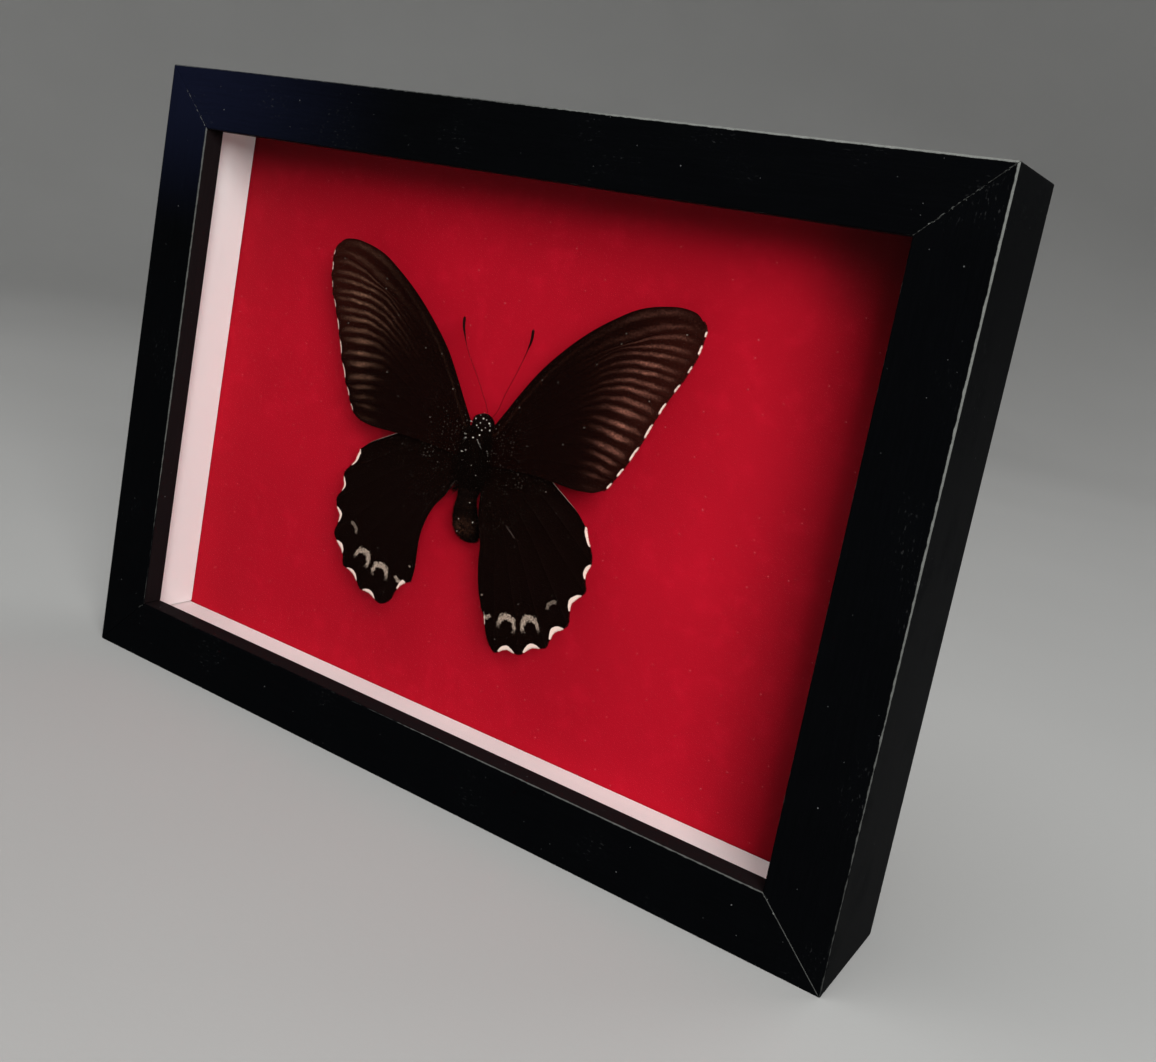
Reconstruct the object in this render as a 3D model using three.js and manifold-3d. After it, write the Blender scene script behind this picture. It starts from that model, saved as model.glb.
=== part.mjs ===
// A spread butterfly in a glazed box frame.
// Millimetres. +X is to the viewer's right, +Z up, and the glass looks along -Y.
// The origin is the middle of the bottom edge, half-way through the frame's depth.
import * as THREE from "three";
import Module from "manifold-3d";
import { mergeVertices } from "three/addons/utils/BufferGeometryUtils.js";

// The frame: four mitred lengths of one L-shaped moulding, round a standard 13 x 18 cm glass.
const WIDTH = 197;
const HEIGHT = 147;
const DEPTH = 30;
const FACE = 14; // width of the moulding's front face
const LIP = 5.5; // depth of the lip in front of the glass
const WALL = 8.3; // thickness of the moulding behind the lip
const ARRIS = 0.5; // chamfer along the moulding's long edges
const GAP = 0.3; // clearance between pieces that touch

// What lies behind the lip, each counted from the front of the frame.
const GLASS = 1.9;
const SPACER_THICKNESS = 1.3;
const CARD_FACE = 20.7; // depth of the card's face
const CARD = 0.8;
const BOARD = 3;

// The fittings on the back.
const POINT = { width: 6, length: 14.5, thickness: 0.4, bite: 5.5, tip: 3 };
const POINT_SPREAD = 50; // from the middle of a long rail to each of its two points
const HANGER = { length: 46, height: 10, thickness: 0.8, end: 8, slope: 3, rise: 1.9 };
const TEETH = { count: 9, pitch: 2.6, depth: 2.2 };
const PIN = { head: 2.4, dome: 1.1, shank: 0.8, length: 2.8 };
const HANGER_Z = 108;

// The butterfly: its middle, 2.8 mm left of the frame's, with u out along a wing, v towards the head.
const BUTTERFLY = { x: -2.8, z: 82 };
const WING = 0.3; // thickness of a wing
const FOREWING = { root: 5.2, rise: 2.4, flatFrom: 34, turn: -0.4 };
const HINDWING = { under: 0.75, level: 7.4, from: -10, over: 24, turn: -1.2 };

const COLOURS = {
  lacquer: { color: 0x17181c, roughness: 0.45, metalness: 0 },
  glass: { color: 0xdfe8e6, roughness: 0.03, metalness: 0, transparent: true, opacity: 0.25 },
  spacer: { color: 0xf2ecec, roughness: 0.8, metalness: 0 },
  card: { color: 0xb01030, roughness: 0.75, metalness: 0 },
  board: { color: 0x7a5a3c, roughness: 0.85, metalness: 0 },
  steel: { color: 0x9a9c9e, roughness: 0.4, metalness: 1 },
  brass: { color: 0xb8934a, roughness: 0.35, metalness: 1 },
  wing: { color: 0x1c120f, roughness: 0.9, metalness: 0 },
  body: { color: 0x120c0b, roughness: 0.95, metalness: 0 },
  antenna: { color: 0x3a1410, roughness: 0.6, metalness: 0 },
};

const wasm = await Module();
wasm.setup();

// Solids, for the few joins and cuts.
function solid(geometry) {
  const bare = geometry.clone();
  bare.deleteAttribute("normal");
  bare.deleteAttribute("uv");
  const merged = mergeVertices(bare, 1e-4);
  return new wasm.Manifold(
    new wasm.Mesh({
      numProp: 3,
      vertProperties: new Float32Array(merged.attributes.position.array),
      triVerts: new Uint32Array(merged.index.array),
    }),
  );
}

function geometryOf(body) {
  const { vertProperties, triVerts } = body.getMesh();
  const geometry = new THREE.BufferGeometry();
  geometry.setAttribute("position", new THREE.BufferAttribute(vertProperties, 3));
  geometry.setIndex(new THREE.BufferAttribute(triVerts, 1));
  geometry.computeVertexNormals();
  return geometry;
}

// Moves every vertex of a geometry by a function of its place.
function reshape(geometry, move) {
  const place = geometry.attributes.position;
  const point = new THREE.Vector3();
  for (let i = 0; i < place.count; i += 1) {
    point.fromBufferAttribute(place, i);
    move(point);
    place.setXYZ(i, point.x, point.y, point.z);
  }
  geometry.computeVertexNormals();
  return geometry;
}

function polygon(points) {
  return new THREE.Shape(points.map(([x, y]) => new THREE.Vector2(x, y)));
}

function named(name, geometry, look) {
  const mesh = new THREE.Mesh(geometry, new THREE.MeshStandardMaterial(COLOURS[look]));
  mesh.name = name;
  return mesh;
}

// The moulding: a shape in (inset from the outer edge, depth from the front), stretched to
// the rail's length with both ends cut back at 45 degrees.
function mouldingProfile() {
  return polygon([
    [ARRIS, 0],
    [FACE - ARRIS, 0],
    [FACE, ARRIS],
    [FACE, LIP],
    [WALL, LIP],
    [WALL, DEPTH],
    [ARRIS, DEPTH],
    [0, DEPTH - ARRIS],
    [0, ARRIS],
  ]);
}

function mitredMoulding(length, reach) {
  const cutBack = GAP / Math.SQRT2;
  const prism = new THREE.ExtrudeGeometry(mouldingProfile(), { depth: 1, bevelEnabled: false });
  return reshape(prism, (p) => {
    const inset = p.x;
    const depth = p.y;
    const along = (1 - p.z * 2) * (length / 2 - inset - cutBack);
    p.set(along, depth - DEPTH / 2, inset - reach);
  });
}

const boardBack = CARD_FACE + CARD + GAP + BOARD;
const pointDepth = boardBack + GAP + POINT.thickness / 2;

// The slit that a retaining point is pushed into, in the rail's inner wall.
function pointSlit(along, reach) {
  const slit = new THREE.BoxGeometry(
    POINT.width + 2 * GAP,
    POINT.thickness + 2 * GAP,
    POINT.bite + 2 * GAP,
  );
  return slit.translate(along, pointDepth - DEPTH / 2, WALL - reach - POINT.bite / 2);
}

function rail(length, reach, points) {
  let body = solid(mitredMoulding(length, reach));
  for (const along of points) body = body.subtract(solid(pointSlit(along, reach)));
  return geometryOf(body);
}

// A retaining point: a flat steel strip, sharp at the end that is in the wood.
function retainingPoint(along, reach) {
  const half = POINT.width / 2;
  const outline = polygon([
    [-half, POINT.length - POINT.bite],
    [-half, POINT.tip - POINT.bite],
    [0, -POINT.bite],
    [half, POINT.tip - POINT.bite],
    [half, POINT.length - POINT.bite],
  ]);
  const strip = new THREE.ExtrudeGeometry(outline, { depth: POINT.thickness, bevelEnabled: false });
  strip.translate(0, 0, -POINT.thickness / 2);
  strip.rotateX(Math.PI / 2);
  return strip.translate(along, pointDepth - DEPTH / 2, WALL - reach);
}

// The four sides, each built as the bottom one and turned about the frame's middle.
const SIDES = [
  { name: "rail_bottom", turn: 0, length: WIDTH, reach: HEIGHT / 2, points: [-POINT_SPREAD, POINT_SPREAD] },
  { name: "rail_top", turn: Math.PI, length: WIDTH, reach: HEIGHT / 2, points: [-POINT_SPREAD, POINT_SPREAD] },
  { name: "stile_left", turn: Math.PI / 2, length: HEIGHT, reach: WIDTH / 2, points: [0] },
  { name: "stile_right", turn: -Math.PI / 2, length: HEIGHT, reach: WIDTH / 2, points: [0] },
];

function frameSides() {
  const sides = new THREE.Group();
  sides.position.z = HEIGHT / 2;
  let count = 0;
  for (const side of SIDES) {
    const quarter = new THREE.Group();
    quarter.rotation.y = side.turn;
    quarter.add(named(side.name, rail(side.length, side.reach, side.points), "lacquer"));
    for (const along of side.points) {
      count += 1;
      quarter.add(named(`retaining_point_${count}`, retainingPoint(along, side.reach), "steel"));
    }
    sides.add(quarter);
  }
  return sides;
}

// Sheets and strips that fill the rebate, from the glass back to the board.
const rebateWidth = WIDTH - 2 * (WALL + GAP);
const rebateHeight = HEIGHT - 2 * (WALL + GAP);

function slab(name, look, width, height, front, thickness, x = 0, z = HEIGHT / 2) {
  const mesh = named(name, new THREE.BoxGeometry(width, thickness, height), look);
  mesh.position.set(x, front + thickness / 2 - DEPTH / 2, z);
  return mesh;
}

function glazing() {
  return slab("glass_pane", "glass", rebateWidth, rebateHeight, LIP + GAP, GLASS);
}

function spacers() {
  const front = LIP + 2 * GAP + GLASS;
  const depth = CARD_FACE - GAP - front;
  const edge = (SPACER_THICKNESS - rebateHeight) / 2;
  const side = (rebateWidth - SPACER_THICKNESS) / 2;
  const between = rebateHeight - 2 * (SPACER_THICKNESS + GAP);
  const strips = new THREE.Group();
  strips.add(
    slab("spacer_bottom", "spacer", rebateWidth, SPACER_THICKNESS, front, depth, 0, HEIGHT / 2 + edge),
    slab("spacer_top", "spacer", rebateWidth, SPACER_THICKNESS, front, depth, 0, HEIGHT / 2 - edge),
    slab("spacer_left", "spacer", SPACER_THICKNESS, between, front, depth, -side),
    slab("spacer_right", "spacer", SPACER_THICKNESS, between, front, depth, side),
  );
  return strips;
}

function backgroundCard() {
  return slab("background_card", "card", rebateWidth, rebateHeight, CARD_FACE, CARD);
}

// The back board, with a blind hole for each pin of the hanger.
const pinAlong = (HANGER.length - HANGER.end) / 2;

function pinHole(x) {
  const depth = PIN.length - HANGER.thickness;
  const hole = new THREE.CylinderGeometry(PIN.shank + GAP, PIN.shank + GAP, depth + GAP, 16);
  return hole.translate(x, boardBack - DEPTH / 2 - (depth - GAP) / 2, HANGER_Z);
}

function backBoard() {
  const sheet = new THREE.BoxGeometry(rebateWidth, BOARD, rebateHeight);
  sheet.translate(0, boardBack - BOARD / 2 - DEPTH / 2, HEIGHT / 2);
  const bored = solid(sheet).subtract(solid(pinHole(-pinAlong))).subtract(solid(pinHole(pinAlong)));
  return named("back_board", geometryOf(bored), "board");
}

// The sawtooth hanger: a strip with its middle raised off the board, holed at both ends
// and toothed along the raised part's lower edge.
function hangerStrip() {
  const half = HANGER.length / 2;
  const foot = half - HANGER.end;
  const raised = foot - HANGER.slope;
  const under = [
    [-half, 0],
    [-foot, 0],
    [-raised, HANGER.rise],
    [raised, HANGER.rise],
    [foot, 0],
    [half, 0],
  ];
  const over = under.map(([x, y]) => [x, y + HANGER.thickness]).reverse();
  return new THREE.ExtrudeGeometry(polygon([...under, ...over]), {
    depth: HANGER.height,
    bevelEnabled: false,
  });
}

function tooth(index) {
  const middle = (index - (TEETH.count - 1) / 2) * TEETH.pitch;
  const notch = polygon([
    [middle - TEETH.pitch / 2, -1],
    [middle + TEETH.pitch / 2, -1],
    [middle, TEETH.depth],
  ]);
  const cutter = new THREE.ExtrudeGeometry(notch, { depth: DEPTH, bevelEnabled: false });
  return cutter.rotateX(Math.PI / 2).translate(0, DEPTH / 2, 0);
}

function hangerPlate() {
  let plate = solid(hangerStrip());
  for (let index = 0; index < TEETH.count; index += 1) plate = plate.subtract(solid(tooth(index)));
  for (const x of [-pinAlong, pinAlong]) {
    const hole = new THREE.CylinderGeometry(PIN.shank + GAP, PIN.shank + GAP, DEPTH, 16);
    plate = plate.subtract(solid(hole.translate(x, 0, HANGER.height / 2)));
  }
  const mesh = named("hanger_plate", geometryOf(plate), "brass");
  mesh.position.set(0, boardBack + GAP - DEPTH / 2, HANGER_Z - HANGER.height / 2);
  return mesh;
}

function hangerPin(name, x) {
  const profile = [
    [0, -PIN.length],
    [PIN.shank, -PIN.length],
    [PIN.shank, 0],
    [PIN.head, 0],
    [PIN.head * 0.85, PIN.dome * 0.6],
    [PIN.head * 0.5, PIN.dome * 0.92],
    [0, PIN.dome],
  ];
  const pin = new THREE.LatheGeometry(profile.map(([r, y]) => new THREE.Vector2(r, y)), 16);
  const mesh = named(name, pin, "brass");
  mesh.position.set(x, boardBack + 2 * GAP + HANGER.thickness - DEPTH / 2, HANGER_Z);
  return mesh;
}

// The butterfly's pieces are built lying down: x across, y towards the head, z up off the card.
// A loft joins ellipses that stand across the line they follow.
// Each station is [v, sideways, height, half width, half height].
function loft(stations, sides) {
  const places = [];
  const faces = [];
  for (const [v, across, height, halfWidth, halfHeight] of stations) {
    for (let k = 0; k < sides; k += 1) {
      const angle = (2 * Math.PI * k) / sides;
      places.push(across + halfWidth * Math.cos(angle), v, height + halfHeight * Math.sin(angle));
    }
  }
  for (let ring = 0; ring + 1 < stations.length; ring += 1) {
    for (let k = 0; k < sides; k += 1) {
      const a = ring * sides + k;
      const b = ring * sides + ((k + 1) % sides);
      faces.push(a, a + sides, b, b, a + sides, b + sides);
    }
  }
  const last = (stations.length - 1) * sides;
  for (let k = 1; k + 1 < sides; k += 1) {
    faces.push(0, k, k + 1);
    faces.push(last, last + k + 1, last + k);
  }
  const geometry = new THREE.BufferGeometry();
  geometry.setAttribute("position", new THREE.Float32BufferAttribute(places, 3));
  geometry.setIndex(faces);
  geometry.computeVertexNormals();
  return geometry;
}

// Head, collar, thorax, waist and abdomen, from the tail forward.
const BODY = [
  [-29.8, -1.4, 2.9, 0.7, 0.6],
  [-29.1, -1.4, 2.9, 1.9, 1.7],
  [-27.6, -1.5, 3.0, 2.7, 2.4],
  [-25, -1.5, 3.2, 3.0, 2.8],
  [-21.5, -1.0, 3.3, 2.7, 2.7],
  [-18.5, -0.4, 3.4, 2.3, 2.4],
  [-16.5, -0.1, 3.7, 2.2, 2.5],
  [-14.5, 0, 4.1, 2.8, 3.1],
  [-12, 0, 4.4, 3.3, 3.6],
  [-9, 0, 4.5, 3.5, 3.8],
  [-6.5, 0.1, 4.8, 3.2, 3.3],
  [-4.9, 0.2, 5.1, 2.5, 2.4],
  [-4.2, 0.3, 5.2, 2.3, 2.1],
  [-3.2, 0.3, 5.3, 2.7, 2.2],
  [-1.8, 0.3, 5.3, 2.6, 2.1],
  [-0.6, 0.3, 5.2, 2.0, 1.6],
  [0.1, 0.3, 5.1, 0.9, 0.8],
];
const BODY_SIDES = 20;

function swollen(stations, by) {
  return stations.map(([v, across, height, halfWidth, halfHeight], index) => {
    const end = index === 0 ? -by : index === stations.length - 1 ? by : 0;
    return [v + end, across, height, halfWidth + by, halfHeight + by];
  });
}

// An antenna: a thread from the brow that thickens into a club over its last part.
function antenna(points) {
  const line = new THREE.CatmullRomCurve3(points.map(([u, v, h]) => new THREE.Vector3(u, v, h)));
  const steps = 16;
  const stations = line.getPoints(steps).map((p, index) => {
    const towardsTip = index / steps;
    const club = THREE.MathUtils.smoothstep(towardsTip, 0.66, 0.86);
    const radius = index === steps ? 0.2 : 0.2 + 0.22 * club;
    return [p.y, p.x, p.z, radius, radius];
  });
  return loft(stations, 8);
}

const ANTENNA_RIGHT = [
  [1.5, 1.2, 4.9],
  [4.8, 6.8, 5.3],
  [7.6, 13.4, 5.6],
  [8.95, 17.2, 5.8],
  [9.25, 20.5, 6.0],
];
const ANTENNA_LEFT = [
  [0.5, 1.2, 4.9],
  [-2.1, 5.95, 5.3],
  [-6.1, 12.35, 5.6],
  [-8.35, 16.9, 5.8],
  [-8.7, 19.9, 6.0],
];

// Wing outlines, in (u, v). Each runs from the root along the leading edge, then from vein end
// to vein end round the outer margin, which dips between them, and back along the inner edge.
const FOREWING_OUTLINE = {
  leading: [
    [3.0, -2.4],
    [5.6, 1.7],
    [8.8, 6.9],
    [12.3, 12.0],
    [17.3, 17.6],
    [22.6, 22.5],
    [28.2, 26.6],
    [33.6, 29.7],
    [38.9, 31.2],
    [43.4, 31.6],
    [46.2, 31.0],
    [47.5, 29.9],
  ],
  veinEnds: [
    [47.5, 29.9],
    [48.5, 26.5],
    [47.9, 22.2],
    [46.4, 18.1],
    [44.2, 13.8],
    [42.2, 9.0],
    [40.3, 3.7],
    [37.9, -1.6],
    [35.9, -5.2],
    [33.9, -8.0],
  ],
  dips: [-0.5, 0.1, 0.25, 0.3, 0.3, 0.3, 0.3, 0.25, 0.2],
  inner: [
    [33.9, -8.0],
    [32.2, -8.9],
    [29.0, -9.5],
    [23.0, -9.5],
    [17.8, -9.4],
    [12.3, -9.8],
    [7.0, -10.4],
    [3.0, -11.0],
  ],
};
const HINDWING_OUTLINE = {
  leading: [
    [2.6, -8.0],
    [7.0, -5.0],
    [13.0, -5.4],
    [18.0, -7.7],
    [22.0, -10.2],
    [25.2, -12.0],
    [28.6, -14.0],
    [31.1, -16.1],
  ],
  veinEnds: [
    [31.1, -16.1],
    [34.5, -22.9],
    [34.4, -29.4],
    [32.5, -37.5],
    [28.3, -44.1],
    [22.4, -48.0],
    [15.9, -49.8],
    [9.4, -41.3],
  ],
  dips: [0.9, 1.2, 1.2, 1.2, 0.9, 0.8, 0.9],
  inner: [
    [9.4, -41.3],
    [8.7, -38.8],
    [8.9, -34.5],
    [8.9, -30.5],
    [8.1, -26.5],
    [6.7, -22.7],
    [5.1, -19.6],
    [3.6, -16.8],
    [2.6, -14.5],
  ],
};
const TRIM = { spline: 2, dip: 5 }; // straight pieces to each stretch of an edge

function throughPoints(points) {
  const line = new THREE.SplineCurve(points.map(([u, v]) => new THREE.Vector2(u, v)));
  return line.getPoints((points.length - 1) * TRIM.spline);
}

// One cell's edge: an arch that leaves both vein ends and is deepest half-way.
function marginDip([u0, v0], [u1, v1], dip) {
  const start = new THREE.Vector2(u0, v0);
  const end = new THREE.Vector2(u1, v1);
  const chord = end.clone().sub(start);
  const inward = new THREE.Vector2(chord.y, -chord.x).normalize();
  const pull = start.clone().add(end).multiplyScalar(0.5).addScaledVector(inward, 2 * dip);
  return new THREE.QuadraticBezierCurve(start, pull, end).getPoints(TRIM.dip);
}

function wingShape({ leading, veinEnds, dips, inner }, side) {
  const edge = [...throughPoints(leading)];
  dips.forEach((dip, cell) => edge.push(...marginDip(veinEnds[cell], veinEnds[cell + 1], dip)));
  edge.push(...throughPoints(inner));
  const clear = edge.filter((p, i) => i === 0 || p.distanceTo(edge[i - 1]) > 1e-3);
  return new THREE.Shape(clear.map((p) => new THREE.Vector2(p.x * side, p.y)));
}

// Height of a wing's middle above the card.
function forewingHeight(u) {
  const t = Math.min(1, Math.max(0, u / FOREWING.flatFrom));
  return FOREWING.root + FOREWING.rise * (1 - (1 - t) ** 2);
}

function hindwingHeight(u, v) {
  const away = THREE.MathUtils.smoothstep(HINDWING.from - v, 0, HINDWING.over);
  return THREE.MathUtils.lerp(forewingHeight(u) - HINDWING.under, HINDWING.level, away);
}

// A wing is cut from a gently curved sheet, and kept clear of the body.
function wing(outline, heightAt, side) {
  const shape = wingShape(outline, side);
  const box = new THREE.Box2().setFromPoints(shape.getPoints());
  const size = box.getSize(new THREE.Vector2()).addScalar(2);
  const middle = box.getCenter(new THREE.Vector2());
  const cells = size.clone().divideScalar(4).ceil();
  const flat = new THREE.BoxGeometry(size.x, size.y, WING, cells.x, cells.y, 1);
  const sheet = reshape(flat.translate(middle.x, middle.y, 0), (p) => {
    p.z += heightAt(p.x * side, p.y);
  });
  const cutter = new THREE.ExtrudeGeometry(shape, { depth: DEPTH, bevelEnabled: false });
  const body = solid(loft(swollen(BODY, GAP + 0.1), BODY_SIDES));
  return geometryOf(solid(sheet).intersect(solid(cutter)).subtract(body));
}

function butterfly() {
  const insect = new THREE.Group();
  insect.position.set(BUTTERFLY.x, CARD_FACE - DEPTH / 2, BUTTERFLY.z);
  insect.rotation.x = Math.PI / 2;
  insect.add(named("butterfly_body", loft(BODY, BODY_SIDES), "body"));
  insect.add(named("antenna_right", antenna(ANTENNA_RIGHT), "antenna"));
  insect.add(named("antenna_left", antenna(ANTENNA_LEFT), "antenna"));
  for (const [word, side] of [["right", 1], ["left", -1]]) {
    const fore = named(`forewing_${word}`, wing(FOREWING_OUTLINE, forewingHeight, side), "wing");
    const hind = named(`hindwing_${word}`, wing(HINDWING_OUTLINE, hindwingHeight, side), "wing");
    fore.rotation.z = THREE.MathUtils.degToRad(FOREWING.turn);
    hind.rotation.z = THREE.MathUtils.degToRad(HINDWING.turn);
    insect.add(fore, hind);
  }
  return insect;
}

const group = new THREE.Group();
group.add(
  frameSides(),
  glazing(),
  spacers(),
  backgroundCard(),
  backBoard(),
  hangerPlate(),
  hangerPin("hanger_pin_left", -pinAlong),
  hangerPin("hanger_pin_right", pinAlong),
  butterfly(),
);

export default group;
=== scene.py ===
import math

import bpy
import numpy as np
from mathutils import Matrix, Vector


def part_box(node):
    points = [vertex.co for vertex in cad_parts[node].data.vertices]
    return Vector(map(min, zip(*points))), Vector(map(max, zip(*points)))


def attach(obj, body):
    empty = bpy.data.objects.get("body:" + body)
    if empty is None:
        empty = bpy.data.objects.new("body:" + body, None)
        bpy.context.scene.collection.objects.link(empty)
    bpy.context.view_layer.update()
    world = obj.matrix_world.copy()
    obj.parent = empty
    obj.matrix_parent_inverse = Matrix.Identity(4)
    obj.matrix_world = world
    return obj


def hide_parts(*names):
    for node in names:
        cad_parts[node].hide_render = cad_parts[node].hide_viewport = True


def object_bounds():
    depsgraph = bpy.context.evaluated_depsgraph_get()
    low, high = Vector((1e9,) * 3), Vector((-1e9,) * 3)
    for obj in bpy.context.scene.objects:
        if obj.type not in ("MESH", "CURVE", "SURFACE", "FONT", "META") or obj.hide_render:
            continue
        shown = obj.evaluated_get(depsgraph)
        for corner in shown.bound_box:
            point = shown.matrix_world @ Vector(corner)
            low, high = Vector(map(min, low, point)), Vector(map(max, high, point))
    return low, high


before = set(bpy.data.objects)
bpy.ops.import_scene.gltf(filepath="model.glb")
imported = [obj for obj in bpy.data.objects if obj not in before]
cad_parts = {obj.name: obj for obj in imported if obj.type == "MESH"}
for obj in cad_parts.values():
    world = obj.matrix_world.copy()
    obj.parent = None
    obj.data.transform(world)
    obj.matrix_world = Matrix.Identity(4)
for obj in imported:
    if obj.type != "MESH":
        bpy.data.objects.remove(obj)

cad_box = [list(corner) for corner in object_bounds()]

# The camera stands to the right of the frame and a little above its middle, tipped about its own axis.
MM = 0.001
CAMERA = {"place": (144.2, -223.0, 123.3), "left_of_back": 32.44, "down": 9.41, "tip": 10.11}
LENS = {"focal": 38.36, "shift_x": 0.0667, "shift_y": -0.0870}

camera = bpy.data.objects.new("camera", bpy.data.cameras.new("camera"))
bpy.context.scene.collection.objects.link(camera)
bpy.context.scene.camera = camera
camera.location = Vector(CAMERA["place"]) * MM
aim = Matrix.Rotation(math.radians(CAMERA["left_of_back"]), 4, "Z")
level = Matrix.Rotation(math.radians(90 - CAMERA["down"]), 4, "X")
tipped = Matrix.Rotation(math.radians(CAMERA["tip"]), 4, "Z")
camera.rotation_euler = (aim @ level @ tipped).to_euler()
camera.data.lens = LENS["focal"]
camera.data.shift_x = LENS["shift_x"]
camera.data.shift_y = LENS["shift_y"]
camera.data.clip_start = 0.01
bpy.context.scene.view_settings.view_transform = "Standard"


# The table: a matt pale sheet that lies flat under the frame and sweeps up into a round wall far
# away, so that no edge or corner shows from any side.
def summed(operation, turned=False):
    """What an operator does with a socket and another socket or a number: it adds this Math node."""
    def add_math(one, other=0.0):
        first, second = (other, one) if turned else (one, other)
        return one.node("Math", {"operation": operation}, {0: first, 1: second})
    return add_math


class Link:
    """A shader socket that Python does sums with. Each sum adds its Math node."""

    def __init__(self, tree, socket=None):
        self.tree = tree
        self.socket = socket

    def node(self, kind, settings=None, inputs=None, output=0):
        """Adds a node: its kind, its settings, and then the values or links of its sockets."""
        made = self.tree.nodes.new("ShaderNode" + kind)
        for name, value in (settings or {}).items():
            setattr(made, name, value)
        for name, value in (inputs or {}).items():
            if isinstance(value, Link):
                self.tree.links.new(value.socket, made.inputs[name])
            else:
                made.inputs[name].default_value = value
        return Link(self.tree, made.outputs[output] if made.outputs else None)

    __add__ = summed("ADD")
    __radd__ = summed("ADD", turned=True)
    __sub__ = summed("SUBTRACT")
    __rsub__ = summed("SUBTRACT", turned=True)
    __mul__ = summed("MULTIPLY")
    __rmul__ = summed("MULTIPLY", turned=True)
    __truediv__ = summed("DIVIDE")
    __pow__ = summed("POWER")
    __mod__ = summed("FLOORED_MODULO")
    __abs__ = summed("ABSOLUTE")
    __or__ = summed("MAXIMUM")


def new_finish(name):
    """A new material, and a Link that adds nodes to it."""
    material = bpy.data.materials.new(name)
    material.use_nodes = True
    material.node_tree.nodes.clear()
    return material, Link(material.node_tree)


def coat(nodes, sockets):
    """Gives the material its one shader, with these values and links."""
    shader = nodes.node("BsdfPrincipled", {}, sockets)
    nodes.node("OutputMaterial", {}, {"Surface": shader})


def place_mm(nodes):
    """Where a point is in the row frame, in millimetres."""
    spot = nodes.node("TexCoord", {}, {}, "Object")
    return nodes.node("VectorMath", {"operation": "SCALE"}, {0: spot, "Scale": 1 / MM})


def mottle(spot, grain, detail=2.0):
    """Noise from 0 to 1 whose blotches are about grain millimetres across."""
    return spot.node("TexNoise", {}, {"Vector": spot, "Scale": 1 / grain, "Detail": detail})


def tint(share, without, full):
    """One colour that turns into another as share goes from 0 to 1."""
    return share.node("Mix", {"data_type": "RGBA"}, {0: share, 6: without, 7: full}, 2)


def relief(height):
    """A normal that shows a height in millimetres."""
    return height.node("Bump", {}, {"Height": height, "Distance": MM})


TABLE = {"flat": 900.0, "curve": 900.0, "wall": 1100.0, "steps": 24, "sides": 96}
rings = [(0.0, 0.0), (TABLE["flat"] / 3, 0.0), (TABLE["flat"], 0.0)]
for step in range(1, TABLE["steps"] + 1):
    turn = math.pi / 2 * step / TABLE["steps"]
    rings.append((TABLE["flat"] + TABLE["curve"] * math.sin(turn), TABLE["curve"] * (1 - math.cos(turn))))
rings.append((TABLE["flat"] + TABLE["curve"], TABLE["curve"] + TABLE["wall"]))


def mesh_of(name, points, faces, sharp=180.0):
    """A smooth mesh in metres from points in millimetres, with creases at angles over sharp."""
    mesh = bpy.data.meshes.new(name)
    mesh.from_pydata((np.asarray(points, float) * MM).tolist(), [], [list(map(int, f)) for f in faces])
    mesh.shade_smooth()
    mesh.set_sharp_from_angle(angle=math.radians(sharp))
    thing = bpy.data.objects.new(name, mesh)
    bpy.context.scene.collection.objects.link(thing)
    return thing


def grid_faces(rows, columns, closed=False):
    """Quads between the rows of a grid of points. Closed joins each row's last point to its first."""
    across = columns if closed else columns - 1
    corners = []
    for row in range(rows - 1):
        for column in range(across):
            a = row * columns + column
            b = row * columns + (column + 1) % columns
            corners.append((a, b, b + columns, a + columns))
    return corners


round_table = []
for radius, height in rings:
    for side in range(TABLE["sides"]):
        turn = 2 * math.pi * side / TABLE["sides"]
        round_table.append((radius * math.cos(turn), radius * math.sin(turn), height))
table = mesh_of("table", round_table, grid_faces(len(rings), TABLE["sides"], closed=True))

material, nodes = new_finish("pale_table")
spot = place_mm(nodes)
cloudy = mottle(spot, 160.0)
coat(nodes, {
    "Base Color": tint(cloudy, (0.42, 0.42, 0.41, 1), (0.46, 0.46, 0.45, 1)),
    "Roughness": 0.75,
    "Specular IOR Level": 0.2,
    "Normal": relief(mottle(spot, 1.2) * 0.02),
})
table.data.materials.append(material)

# Studio light: one large soft box to the right and a little above, a weaker one nearly overhead, one
# behind, and a dim even room.
MIDDLE = Vector((0, 0, 0.073))
SOFT_BOXES = {
    "key_light": {"towards": (0.92, -1.0, 0.57), "metres_off": 0.95, "size": 0.5, "watts": 9.8},
    "fill_light": {"towards": (-0.15, -0.4, 1.0), "metres_off": 1.2, "size": 0.9, "watts": 6.6},
    "back_light": {"towards": (0.5, 1.0, 0.8), "metres_off": 1.2, "size": 0.8, "watts": 3.5},
}
for name, box in SOFT_BOXES.items():
    lamp = bpy.data.objects.new(name, bpy.data.lights.new(name, "AREA"))
    bpy.context.scene.collection.objects.link(lamp)
    out = Vector(box["towards"]).normalized()
    lamp.location = MIDDLE + out * box["metres_off"]
    lamp.rotation_euler = out.to_track_quat("Z", "Y").to_euler()
    lamp.data.size = box["size"]
    lamp.data.energy = box["watts"]
room = bpy.data.worlds.new("room")
bpy.context.scene.world = room
room.use_nodes = True
room.node_tree.nodes.clear()
air = Link(room.node_tree)
glow = air.node("Background", {}, {"Color": (0.93, 0.96, 1.0, 1), "Strength": 0.06})
air.node("OutputWorld", {}, {"Surface": glow})


# The moulding: four mitred lengths of one L-shaped wooden bar, sprayed with black satin lacquer and
# glued at the corners. The lacquer is rubbed through to a pale grey along the outer edges, and it is
# thin on the back and in the rebate, where the wood's grain shows. A painted highlight lies along the
# outer and inner front edges, a painted navy reflection at the top left of the front, and a painted
# plum reflection of the red card on the lip's inner wall.
def node_box(name):
    """A CAD node's lowest and highest corners, in millimetres."""
    low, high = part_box(name)
    return np.array(low) / MM, np.array(high) / MM


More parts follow.
